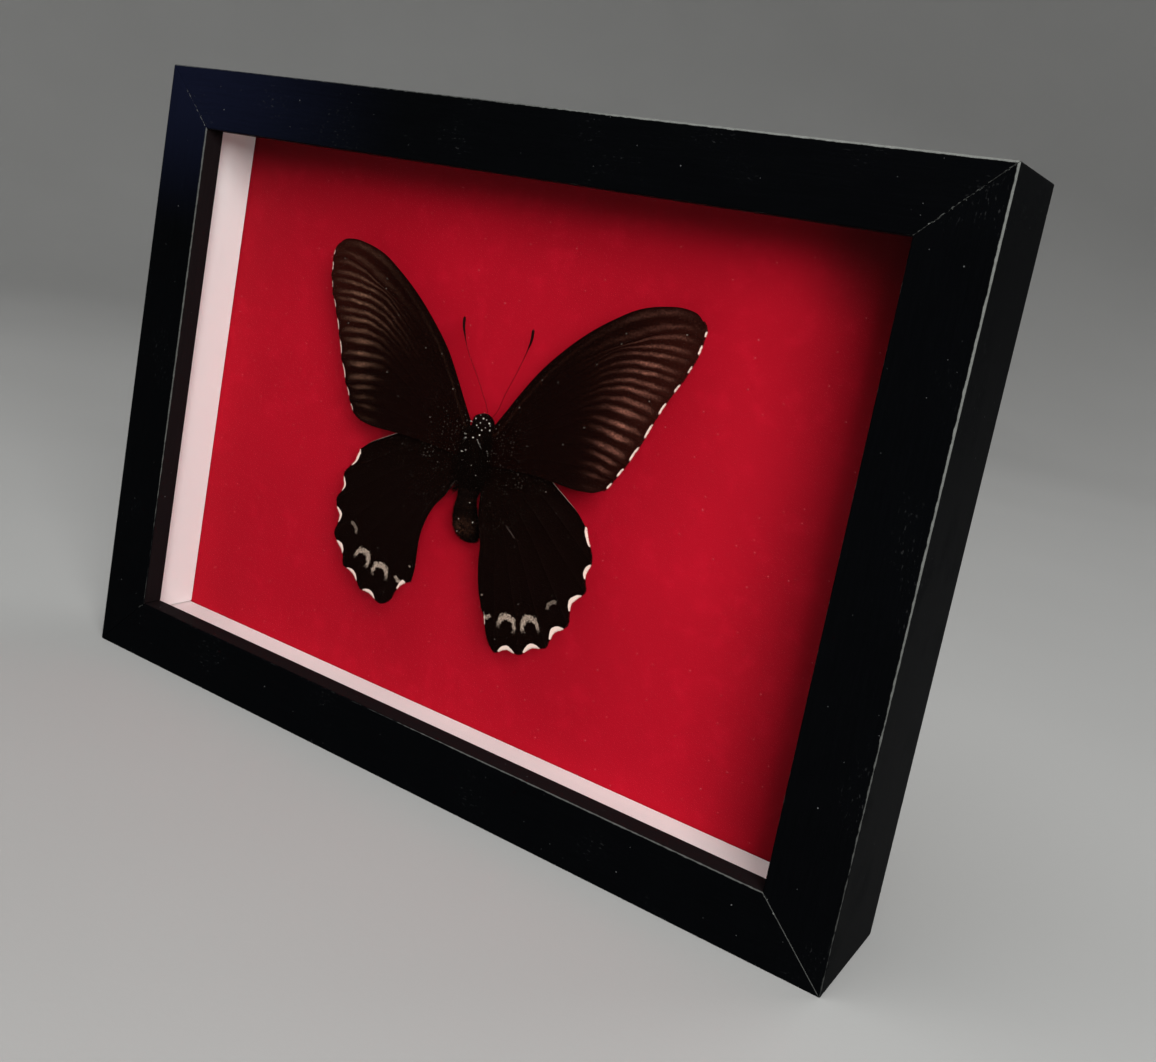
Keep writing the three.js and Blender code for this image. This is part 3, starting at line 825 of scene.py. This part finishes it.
for row in COLLAR:
    TUFTS += [(u, v, 0.065) for u, v in smooth_line(row, np.linspace(0, 1, 8))]
for u, v, radius in TUFTS:
    points, faces = tuft(u, v, radius)
    grow(points, faces, np.full(len(points), 1.0))

furred = mesh_of("furred_body", pinned(np.concatenate(body_parts)), body_faces)
paint(furred, "tone", np.concatenate(body_tones))
material, nodes = new_finish("black_fur")
tone = read_numbers(nodes, "tone")[0]
fine = mottle(place_mm(nodes), 0.15)
black_hair = tint(fine, (0.0012, 0.0006, 0.0005, 1), (0.0060, 0.0028, 0.0021, 1))
brown_hair = tint(ease(tone, 0.08, 0.7), black_hair, (0.12, 0.048, 0.028, 1))
coat(nodes, {
    "Base Color": tint(ease(tone, 0.75, 0.95), brown_hair, (0.60, 0.56, 0.50, 1)),
    "Roughness": 0.55 + fine * 0.2,
    "Specular IOR Level": 0.006,
    "Normal": relief(fine * 0.03),
})
furred.data.materials.append(material)
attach(furred, "root")
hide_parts("butterfly_body")


# The antennae: thin dry threads, dark red-brown, each thickening into a dark club. They grow from the
# brow and stand clear of the card as they dried.
ANTENNAE = {
    "right": [(1.7, -1.3, 4.9), (2.2, -0.3, 4.9), (3.1, 1.2, 5.0), (4.52, 5.2, 5.3), (6.72, 10.68, 5.6),
              (8.52, 16.0, 5.8), (9.06, 18.0, 5.9), (9.15, 20.57, 6.0)],
    "left": [(1.0, -1.3, 4.9), (0.72, 0.1, 4.9), (0.05, 1.84, 5.0), (-1.3, 4.2, 5.2), (-2.68, 6.59, 5.35),
             (-4.4, 9.16, 5.5), (-6.64, 12.48, 5.65), (-8.24, 15.94, 5.8), (-8.85, 17.9, 5.9),
             (-8.99, 20.0, 6.0)],
}
THREAD = 0.10
CLUB = 0.32
THREAD_RINGS = 120
THREAD_SIDES = 12
material, nodes = new_finish("antenna_brown")
club_share = read_numbers(nodes, "club")[0]
rings_on_thread = mottle(place_mm(nodes), 0.3)
in_club = ease(club_share, 0.62, 0.85)
coat(nodes, {
    "Base Color": tint(in_club, (0.17, 0.0022, 0.0060, 1), (0.012, 0.0012, 0.0012, 1)),
    "Roughness": 0.45 + rings_on_thread * 0.2,
    "Specular IOR Level": 0.03,
    "Normal": relief(rings_on_thread * 0.03),
})


def eased(share):
    """0 below 0, 1 above 1, and smooth between them."""
    share = np.clip(share, 0, 1)
    return share**2 * (3 - 2 * share)


for word, line_points in ANTENNAE.items():
    shares = np.linspace(0, 1, THREAD_RINGS)
    centre = smooth_line(line_points, shares)
    ahead = unit(np.gradient(centre, axis=0))
    right = unit(np.cross(ahead, (0, 0, 1)))
    up = np.cross(right, ahead)
    radius = THREAD + (CLUB - THREAD) * eased((shares - 0.76) / 0.18)
    radius = radius * (1 + 0.06 * np.sin(np.arange(THREAD_RINGS) * 2.1))
    radius[-3:] *= (0.9, 0.65, 0.2)
    tube = []
    for k in range(THREAD_SIDES):
        turn = 2 * math.pi * k / THREAD_SIDES
        tube.append(centre + (right * math.cos(turn) + up * math.sin(turn)) * radius[:, None])
    tube = np.stack(tube, 1).reshape(-1, 3)
    thread = mesh_of(f"thread_{word}", pinned(tube), tube_faces(THREAD_RINGS, THREAD_SIDES))
    paint(thread, "club", np.repeat(shares, THREAD_SIDES))
    thread.data.materials.append(material)
    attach(thread, "root")
    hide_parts(f"antenna_{word}")


# The forewings: stiff dry membrane between thin veins, covered with black-brown scales. Each cell
# between two veins has two bronze rays that stop short of a dark margin, and a white dash of fringe.
FOREWING = {"root": 5.2, "rise": 2.4, "flat_from": 34.0, "turned": -0.4}
# The veins, from the root to the outer margin, and from the front edge to the rear one.
FORE_VEINS = [
    [(3, -2.4), (5.6, 1.7), (8.8, 6.9), (12.3, 12), (17.3, 17.6), (22.6, 22.5), (28.2, 26.6), (33.6, 29.7),
     (38.9, 31.2), (43.4, 31.6), (46.2, 31), (47.5, 29.9)],
    [(3, -3.3), (10, 5.2), (18, 13.2), (26, 19.2), (33.9, 23.3), (38.8, 25.8), (42.6, 26.8), (45.6, 27),
     (48.5, 26.5)],
    [(3, -4), (10, 3.2), (18, 10.3), (25.5, 16.8), (31.4, 20.9), (34.2, 21.6), (41.9, 22.5), (47.9, 22.2)],
    [(3, -4.8), (10, 1.4), (18, 7.6), (25.5, 13.8), (31.3, 17.3), (34.1, 18.1), (38.7, 18.5), (46.4, 18.1)],
    [(3, -5.6), (10, -0.4), (18, 5), (25, 10.4), (30.7, 13.6), (35.8, 14.6), (40, 14.4), (44.2, 13.8)],
    [(3, -6.4), (10, -2), (17, 2), (24, 6.8), (29.5, 9.7), (33.5, 10.2), (38, 9.9), (42.2, 9)],
    [(3, -7.2), (10, -3.6), (17, -0.4), (23, 3.3), (28.4, 5.3), (32.5, 5.1), (37.5, 4.4), (40.3, 3.7)],
    [(3, -8.2), (10, -5.2), (17, -2.7), (24, -0.4), (30, 0.1), (33, -0.5), (37.9, -1.6)],
    [(3, -9.4), (10, -7.4), (17, -5.8), (24, -4.8), (30.3, -4.5), (33.7, -4.9), (35.9, -5.2)],
    [(3, -11), (7, -10.4), (12.3, -9.8), (17.8, -9.4), (23, -9.5), (29, -9.5), (32.2, -8.9), (33.9, -8)],
]
# How far the margin lies outside each cell's chord: at its first vein, a quarter, half and three
# quarters of the way on. The last number is for the last vein.
FORE_MARGIN = [
    (0.0, 0.4, 0.5, 0.25), (0.0, 0.0, -0.05, -0.05), (0.0, -0.07, -0.12, -0.07), (0.0, -0.08, -0.13, -0.08),
    (0.0, -0.08, -0.14, -0.08), (0.0, -0.08, -0.14, -0.08), (0.0, -0.08, -0.14, -0.08),
    (0.0, -0.08, -0.13, -0.08), (0.0, 0.05, 0.1, 0.15), (0.1,),
]
MEMBRANE = 0.14  # how thick a wing is
FRINGE = {"long": 0.32, "wide": 0.11, "pitch": 0.055, "droop": 0.16}
WING_BASE = (1.0, -7.0)  # white scales are thickest near here


def fore_height(u):
    near = np.clip(u / FOREWING["flat_from"], 0, 1)
    return FOREWING["root"] + FOREWING["rise"] * (1 - (1 - near) ** 2)


def distance_to(places, line):
    """How far each place is from a smooth line, in millimetres."""
    fine = smooth_line(line, np.linspace(0, 1, 4 * FINE_STEPS))
    return np.linalg.norm(places[:, None, :] - fine[None], axis=-1).min(1)


def fore_lie(u, v):
    """The forewing's height off the card. Its front edge dips, and its rear half stands up a little."""
    from_front = distance_to(np.stack([u, v], 1), FORE_VEINS[0])
    tilt = np.interp(from_front, (0, 10, 20), (-0.95, 0.0, 0.4))
    return fore_height(u) + tilt * np.clip(u / 12, 0, 1)


def lie_of_wing(veins, margin, rows, columns):
    """A grid over a wing: places, vein count across, share of the way out, and margin distance."""
    shares = 1 - (1 - np.linspace(0, 1, rows)) ** 1.25
    lines = np.array([smooth_line(line, shares) for line in veins])
    ends = lines[:, -1]
    chords = np.diff(ends, axis=0)
    outward = unit(np.stack([-chords[:, 1], chords[:, 0]], 1))
    knots = []
    rim = []
    for cell, row in enumerate(margin):
        here = min(cell, len(chords) - 1)
        for quarter, off in enumerate(row):
            before = outward[max(cell - 1, 0)] if quarter == 0 else outward[here]
            way = (before + outward[here]) / 2
            knots.append(cell + quarter / 4)
            rim.append(ends[cell] + chords[here] * quarter / 4 + way * (off - FRINGE["long"] * 0.6))
    steps = (1 - np.cos(np.pi * np.arange(columns) / columns)) / 2
    cells = (np.arange(len(chords))[:, None] + steps).ravel()
    cells = np.append(cells, len(chords))
    outer = curve_through(np.array(knots), np.array(rim), cells)
    first = np.minimum(cells.astype(int), len(chords) - 1)
    within = (cells - first)[:, None, None]
    places = lines[first] * (1 - within) + lines[first + 1] * within
    hold = np.clip((shares - 0.6) / 0.4, 0, 1) ** 2
    places = places + (outer - places[:, -1])[:, None, :] * hold[None, :, None]
    places = places.transpose(1, 0, 2)
    edge = places[-1]
    ahead = edge[1:] - edge[:-1]
    flat = places.reshape(-1, 1, 2)
    t = ((flat - edge[:-1]) * ahead).sum(-1) / (ahead**2).sum(-1)
    nearest = edge[:-1] + ahead * np.clip(t, 0, 1)[..., None]
    from_margin = np.linalg.norm(flat - nearest, axis=-1).min(1)
    return places, cells, shares, from_margin


def fringe(edge, cells, side):
    """Short scales that stand out past the margin and droop a little."""
    ahead = unit(np.gradient(edge, axis=0))
    outward = np.stack([-ahead[:, 1], ahead[:, 0], 0 * ahead[:, 0]], 1) * side
    run = run_along(edge)
    spots = np.arange(0.1, run[-1] - 0.1, FRINGE["pitch"])
    spots = spots + rng.uniform(-0.4, 0.4, len(spots)) * FRINGE["pitch"]
    points = []
    faces = []
    at = []
    for spot in spots:
        base, out, along = (
            np.array([np.interp(spot, run, line[:, k]) for k in range(3)])
            for line in (edge, outward, ahead)
        )
        long = FRINGE["long"] * rng.uniform(0.6, 1.1)
        fall = rng.normal(scale=0.03) - FRINGE["droop"]
        tip = base + out * long + along * rng.normal(scale=0.06) + (0, 0, fall)
        first = len(points)
        sink = base - out * 0.08 - (0, 0, 0.07)
        points += [sink - along * FRINGE["wide"] / 2, sink + along * FRINGE["wide"] / 2]
        points += [tip + along * FRINGE["wide"] * 0.3, tip - along * FRINGE["wide"] * 0.3]
        faces.append((first, first + 1, first + 2, first + 3))
        at += [np.interp(spot, run, cells)] * 4
    return np.array(points), faces, np.array(at)


def white_width(cell, marks, blunt):
    """How wide the white is at the margin, in millimetres, for each cell's mark. Blunt ones end abruptly."""
    marks = np.array(marks)
    here = np.minimum(cell.astype(int), len(marks) - 1)
    middle, half, wide = marks[here].T
    return wide * np.clip(1 - np.abs((cell - here - middle) / half) ** blunt, -0.5, 1)


def wing_piece(name, veins, margin, marks, blunt, vein_rise, side, height_of, turned, node,
               rows=84, columns=16):
    """A thin closed wing with raised veins and pleated cells, and a fringe of scales at its margin."""
    grid, cells, shares, from_margin = lie_of_wing(veins, margin, rows, columns)
    count = len(cells)
    flat = grid.reshape(-1, 2)
    cell = np.tile(cells, rows)
    out = np.repeat(shares, count)
    within = cell % 1
    to_vein = np.minimum(within, 1 - within)
    ridge = vein_rise * np.exp(-((to_vein / 0.045) ** 2)) * np.clip(out * 4, 0, 1)
    pleat = 0.16 * (0.5 - to_vein) ** 2 * 4 * np.clip((out - 0.3) * 2.5, 0, 1)
    height = height_of(flat[:, 0], flat[:, 1]) + ridge + pleat
    top = np.stack([flat[:, 0] * side, flat[:, 1], height + MEMBRANE / 2], 1)
    under = top - (0, 0, MEMBRANE)
    faces = grid_faces(rows, count)
    faces += [tuple(corner + len(top) for corner in face[::-1]) for face in grid_faces(rows, count)]
    border = list(range(count))
    border += [row * count + count - 1 for row in range(1, rows)]
    border += [(rows - 1) * count + k for k in range(count - 2, -1, -1)]
    border += [row * count for row in range(rows - 2, 0, -1)]
    for here, there in zip(border, border[1:] + border[:1]):
        faces.append((there, here, here + len(top), there + len(top)))
    outer_row = np.arange((rows - 1) * count, rows * count)
    fringe_points, fringe_faces, fringe_cells = fringe(top[outer_row], cells, side)
    faces += [tuple(corner + 2 * len(top) for corner in face) for face in fringe_faces]
    if side < 0:
        faces = [face[::-1] for face in faces]
    thing = mesh_of(name, pinned(np.concatenate([top, under, fringe_points]), turned), faces, sharp=60)
    blank = np.zeros(len(fringe_points))
    lie = {
        "spread": np.concatenate([flat, flat, fringe_points[:, :2] * (side, 1)]),
        "cell": np.concatenate([cell, cell, fringe_cells]),
        "out": np.concatenate([out, out, blank + 1]),
        "from_margin": np.concatenate([from_margin, from_margin, blank]),
    }
    paint(thing, "cell", lie["cell"])
    paint(thing, "from_margin", lie["from_margin"])
    paint(thing, "white", white_width(lie["cell"], marks, blunt))
    paint(thing, "spread", np.column_stack([lie["spread"], 0 * lie["cell"]]))
    paint(thing, "from_body", np.linalg.norm(lie["spread"] - WING_BASE, axis=1))
    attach(thing, "root")
    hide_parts(node)
    return thing, lie


def white_scales(spread, from_body, clumped, reach, loose):
    """Where white scales lie: in clumps that thin out away from the body, and loose ones anywhere."""
    clumps = ease(mottle(spread, 3.5), *clumped)
    near = specks(spread, 0.8, 0.12, 0.3) * ease(from_body, *reach) * clumps
    return near * 0.6 | specks(spread, *loose) * 0.4


def coat_of_scales(nodes, colour, dusting, from_white, height):
    """Gives a wing's material its shader: matt scales, and white ones in the marks at the margin."""
    coat(nodes, {
        "Base Color": tint(ease(from_white, -0.04, 0.05), colour, FRINGE_WHITE),
        "Roughness": 0.65 + dusting * 0.2,
        "Specular IOR Level": 0.004,
        "Normal": relief(height),
    })


# Each cell's rays: how far from the margin they are brightest, how far in they reach from there, how
# bright they are, and how much red glow lies between them.
RAYS = {
    "right": [(8.0, 9.0, 0.14, 0.6), (6.0, 7.5, 0.38, 1.0), (6.0, 6.0, 0.70, 1.0), (5.8, 5.2, 0.75, 1.0),
              (5.2, 5.3, 0.78, 1.0), (4.8, 4.2, 0.95, 0.9), (4.1, 3.7, 0.88, 0.7), (3.2, 2.6, 0.50, 0.5),
              (3.0, 2.0, 0.06, 0.3)],
    "left": [(8.0, 9.0, 0.12, 0.9), (11.0, 5.0, 0.27, 1.0), (7.5, 7.0, 0.54, 0.9), (6.2, 7.2, 0.56, 0.8),
             (6.2, 5.2, 0.56, 0.65), (5.4, 4.7, 0.52, 0.4), (4.5, 3.5, 0.58, 0.2), (3.6, 2.2, 0.24, 0.1),
             (3.5, 2.0, 0.10, 0.1)],
}
# The two rays' distance from the cell's middle fold, and half their width, in shares of the cell.
RAY_OFF_FOLD = 0.27
RAY_HALF = 0.22
RAY_TINTS = {"right": (0.30, 0.115, 0.080, 1), "left": (0.28, 0.138, 0.088, 1)}
GLOW = (0.026, 0.0052, 0.0036, 1)
# Each cell's white dash: its middle and half its length in shares of the cell, and how wide it is.
DASHES = [
    (0.70, 0.20, 0.24), (0.5, 0.30, 0.26), (0.5, 0.25, 0.22), (0.5, 0.28, 0.25), (0.5, 0.31, 0.28),
    (0.5, 0.36, 0.30), (0.5, 0.36, 0.30), (0.5, 0.33, 0.28), (0.5, 0.30, 0.26),
]
FRINGE_WHITE = (0.80, 0.60, 0.52, 1)
LOOSE_WHITE = (0.42, 0.36, 0.31, 1)

for word, side in (("right", 1), ("left", -1)):
    wing, lie = wing_piece(f"fore_{word}", FORE_VEINS, FORE_MARGIN, DASHES, 5.0, 0.05, side, fore_lie,
                           FOREWING["turned"], f"forewing_{word}")
    middles = np.arange(9) + 0.5
    peak, reach, strength, glow = (np.interp(lie["cell"], middles, row) for row in np.array(RAYS[word]).T)
    rise = np.clip((lie["from_margin"] - 0.6) / (np.minimum(peak, 6.0) - 0.6), 0, 1)
    fall = np.exp(-(np.clip(lie["from_margin"] - peak, 0, None) / reach) ** 2)
    paint(wing, "ray", strength * rise**1.1 * fall)
    inward = np.exp(-(lie["from_margin"] / (peak + reach)) ** 2)
    paint(wing, "glow", glow * inward * np.clip(lie["out"] * 2 - 0.6, 0, 1))
    paint(wing, "from_costa", distance_to(lie["spread"], FORE_VEINS[0]))

    material, nodes = new_finish(f"fore_scales_{word}")
    cell, from_margin, white_wide = read_numbers(nodes, "cell", "from_margin", "white")
    from_costa, from_body, ray, glow = read_numbers(nodes, "from_costa", "from_body", "ray", "glow")
    spread = read_place(nodes, "spread")
    wander = (mottle(spread, 3.0) - 0.5) * 0.2
    off_ray = abs(abs((cell % 1.0) + wander - 0.5) - RAY_OFF_FOLD)
    dusting = ease(mottle(spread, 0.42, 4.0), 0.3, 0.7)
    streak = ease(mottle(stretched(spread, (0.3, 1.0, 1.0)), 0.9, 3.0), 0.3, 0.7)
    patchy = ease(mottle(stretched(spread, (0.6, 1.0, 1.0)), 3.0, 3.0), 0.25, 0.65)
    band = ease(off_ray, RAY_HALF, 0.0)
    band = band * band * ray * (0.5 + 0.5 * patchy)
    band = band * (0.35 + 0.9 * dusting) * (0.6 + 0.6 * streak)
    costal = ease(abs(from_costa - 1.7), 0.5, 0.1) * 0.035 * dusting
    pale = white_scales(spread, from_body, (0.45, 0.62), (17.0, 4.0), (4.5, 0.18, 0.16))
    ground = tint(dusting, (0.0020, 0.0006, 0.0005, 1), (0.0066, 0.0019, 0.0013, 1))
    ground = tint(glow * (0.55 + 0.3 * dusting), ground, GLOW)
    colour = tint(band + costal, ground, RAY_TINTS[word])
    colour = tint(pale, colour, LOOSE_WHITE)
    ragged = mottle(spread, 0.4) - 0.5
    from_white = white_wide - 0.2 - from_margin + ragged * 0.2
    coat_of_scales(nodes, colour, dusting, from_white, dusting * 0.02 + streak * 0.02)
    wing.data.materials.append(material)


# The hindwings: deep black, scalloped, with a white crescent in each dip. Three cells near the tail
# hold speckled grey arches, and the last one a ringed black spot. The right tail end curls down.
# How far the hindwing lies under the forewing, and the height that it comes to further back.
HINDWING = {"under": 0.75, "level": 7.4, "from": -10.0, "over": 24.0, "rear": 0.8, "turned": -1.2}
HIND_VEINS = [
    [(2.6, -8), (7, -5), (13, -5.4), (18, -7.7), (22, -10.2), (25.2, -12), (28.6, -14), (31.1, -16.1)],
    [(2.6, -9), (11, -9.6), (20, -13.6), (28, -18.6), (34.5, -22.9)],
    [(2.6, -10), (10, -12.2), (19, -17.6), (27, -23.6), (34.65, -29.25)],
    [(2.6, -11), (9.5, -14.6), (17, -20.6), (25, -28.7), (32.75, -37.2)],
    [(2.6, -12), (8.6, -16.6), (15, -23.4), (21.9, -33.1), (28.6, -43.7)],
    [(2.6, -12.9), (7.6, -17.8), (12.6, -25.2), (18.1, -35.9), (22.7, -47.55)],
    [(2.6, -13.7), (6.6, -19), (10.6, -27), (13.7, -37.9), (16.2, -49.35)],
]
INNER_EDGE = {
    "right": [(2.6, -14.5), (3.3, -18), (4.0, -21.4), (5.4, -24.5), (6.9, -27.8), (7.6, -31.2), (8.1, -34.7),
              (8.7, -38.0), (9.9, -41.1)],
    "left": [(2.6, -14.5), (4.3, -17.4), (5.8, -20.6), (7.4, -23), (8.3, -25.2), (8.9, -28.5), (9, -31),
             (8.75, -34.7), (8.65, -38.5), (9.0, -41.3)],
}
HIND_MARGIN = {
    "right": [(-0.1, -0.2, -0.1, 0.2), (-0.1, -0.55, -0.95, -0.4), (0.1, -0.95, -1.7, -0.95),
              (-0.15, -0.4, -1.1, -0.75), (-0.05, -0.2, -0.75, -0.45), (0.0, -0.25, -0.85, -0.5),
              (-0.05, 0.6, 0.3, -0.5), (-0.4,)],
    "left": [(0.0, -0.35, -0.8, -0.4), (-0.3, -0.5, -1.1, -0.65), (0.05, 0.0, -1.05, -0.4),
             (0.6, 0.6, -0.05, 0.0), (0.6, 0.0, -0.25, 0.1), (0.5, 0.0, -0.1, 0.25),
             (0.0, 0.75, -0.25, -0.6), (0.35,)],
}
# Each cell's crescent: its middle and half its length in shares of the cell, and how wide it is.
CRESCENTS = {
    "right": [(0.30, 0.34, 0.54), (0.35, 0.30, 0.72), (0.40, 0.30, 0.88), (0.48, 0.31, 1.12),
              (0.55, 0.35, 0.96), (0.53, 0.35, 0.92), (0.68, 0.10, 0.5)],
    "left": [(0.35, 0.34, 0.62), (0.42, 0.32, 0.55), (0.48, 0.27, 0.75), (0.45, 0.25, 0.95),
             (0.45, 0.33, 0.8), (0.42, 0.33, 0.84), (0.70, 0.16, 0.85)],
}
CURL = {"right": 1.2, "left": 0.2}
# The arches: the middle of the foot, the lean in degrees, and half the width and the rise of the
# outer and the inner line.
ARCHES = [
    ((18.0, -43.0), 0.0, (2.5, 3.05), (1.7, 1.75)),
    ((24.0, -41.4), 24.0, (2.45, 3.2), (1.6, 1.9)),
]
# Pieces of rings: a hook beside the arches, and the marks below and above the eye spot. Each has its
# middle, radius, half width, direction and spread in degrees, and strength.
RINGS = [
    ((28.8, -35.5), 1.95, 0.48, 138.0, 54.0, 0.42),
    ((11.4, -40.2), 2.6, 0.52, -58.0, 26.0, 0.8),
    ((11.4, -40.2), 2.3, 0.22, 125.0, 9.0, 0.7),
]
SCRATCH = {"from": (11.9, -21.9), "to": (15.2, -24.0)}


def hind_lie(word):
    """The height of one side's hindwing off the card, as a function of a place on it."""
    def height(u, v):
        away = eased((HINDWING["from"] - v) / HINDWING["over"])
        near = fore_height(u) - HINDWING["under"]
        tail = np.clip((14.5 - u) / 6, 0, 1) ** 2 * np.clip((-30 - v) / 10, 0, 1)
        rear = eased((-22 - v) / 14) * HINDWING["rear"]
        from_front = distance_to(np.stack([u, v], 1), HIND_VEINS[0][3:])
        front = 0.5 * np.exp(-((from_front / 4.0) ** 2))
        return near * (1 - away) + HINDWING["level"] * away + rear - front - CURL[word] * tail
    return height


for word, side in (("right", 1), ("left", -1)):
    wing, lie = wing_piece(f"hind_{word}", HIND_VEINS + [INNER_EDGE[word]], HIND_MARGIN[word],
                           CRESCENTS[word], 2.4, 0.02, side, hind_lie(word), HINDWING["turned"],
                           f"hindwing_{word}")
    paint(wing, "from_inner", distance_to(lie["spread"], INNER_EDGE[word]))
    paint(wing, "from_costa", distance_to(lie["spread"], HIND_VEINS[0][3:]))

    material, nodes = new_finish(f"hind_scales_{word}")
    cell, from_margin, white_wide = read_numbers(nodes, "cell", "from_margin", "white")
    from_costa, from_body, from_inner = read_numbers(nodes, "from_costa", "from_body", "from_inner")
    spread = read_place(nodes, "spread")
    across, along = xyz_of(spread)[:2]
    within = cell % 1.0
    dusting = ease(mottle(spread, 0.36, 4.0), 0.3, 0.7)
    ragged = mottle(spread, 0.6, 3.0) - 0.5
    from_white = white_wide - 0.2 - from_margin + ragged * 0.42
    marked = 0.0
    for foot, lean, outer_line, inner_line in ARCHES:
        lean = math.radians(lean)
        right = (across - foot[0]) * math.cos(lean) + (along - foot[1]) * math.sin(lean)
        up = (along - foot[1]) * math.cos(lean) - (across - foot[0]) * math.sin(lean)
        rise = up | 0.0
        square = right * right
        outer = square * abs(right) / outer_line[0] ** 3 + (rise * rise) / outer_line[1] ** 2
        inner = square / inner_line[0] ** 2 + (rise * rise) / inner_line[1] ** 2
        rim = ease(outer + ragged * 1.6, 1.15, 0.75) * ease(inner + ragged * 1.4, 0.75, 1.25)
        marked = rim * ease(up + ragged * 2.0, -0.9, 0.7) | marked
    for heart, radius, half, towards, open_by, strength in RINGS:
        right = across - heart[0]
        up = along - heart[1]
        reach = (right * right + up * up) ** 0.5
        turn = math.radians(towards)
        facing = (right * math.cos(turn) + up * math.sin(turn)) / reach
        ends = ease(facing, math.cos(math.radians(open_by)), math.cos(math.radians(open_by * 0.7)))
        rim = ease(abs(reach - radius) + ragged * 0.9, half, half * 0.6)
        marked = marked | rim * ends * strength
    veins = ease(abs(within - 0.5), 0.475, 0.5) * 0.12
    fold_line = ease(abs(from_inner - 1.3), 0.16, 0.03) * 0.2
    pale = white_scales(spread, from_body, (0.42, 0.6), (24.0, 5.0), (4.0, 0.17, 0.14))
    pale_rim = ease(from_costa, 0.16, 0.06)
    ground = tint(dusting, (0.0014, 0.0006, 0.0005, 1), (0.0056, 0.0019, 0.0013, 1))
    colour = tint(veins | fold_line, ground, (0.014, 0.008, 0.007, 1))
    colour = tint(marked * (0.2 + 0.8 * dusting), colour, (0.50, 0.375, 0.295, 1))
    colour = tint(pale, colour, LOOSE_WHITE)
    colour = tint(pale_rim * 0.45, colour, (0.5, 0.38, 0.33, 1))
    if word == "right":
        start = np.array(SCRATCH["from"])
        whole = np.array(SCRATCH["to"]) - start
        size = float(np.linalg.norm(whole))
        way = whole / size
        ahead = (across - start[0]) * way[0] + (along - start[1]) * way[1]
        off = abs((across - start[0]) * way[1] - (along - start[1]) * way[0] + ragged * 0.15)
        scratch = ease(off, 0.14, 0.04) * ease(abs(ahead - size / 2), size / 2, size / 3)
        colour = tint(scratch * 0.22, colour, (0.30, 0.22, 0.19, 1))
    else:
        rubbed = ease(from_inner, 0.4, 0.15) * ease(along, -18.5, -16.5)
        colour = tint(rubbed * 0.6, colour, (0.18, 0.12, 0.10, 1))
    coat_of_scales(nodes, colour, dusting, from_white, dusting * 0.02)
    wing.data.materials.append(material)
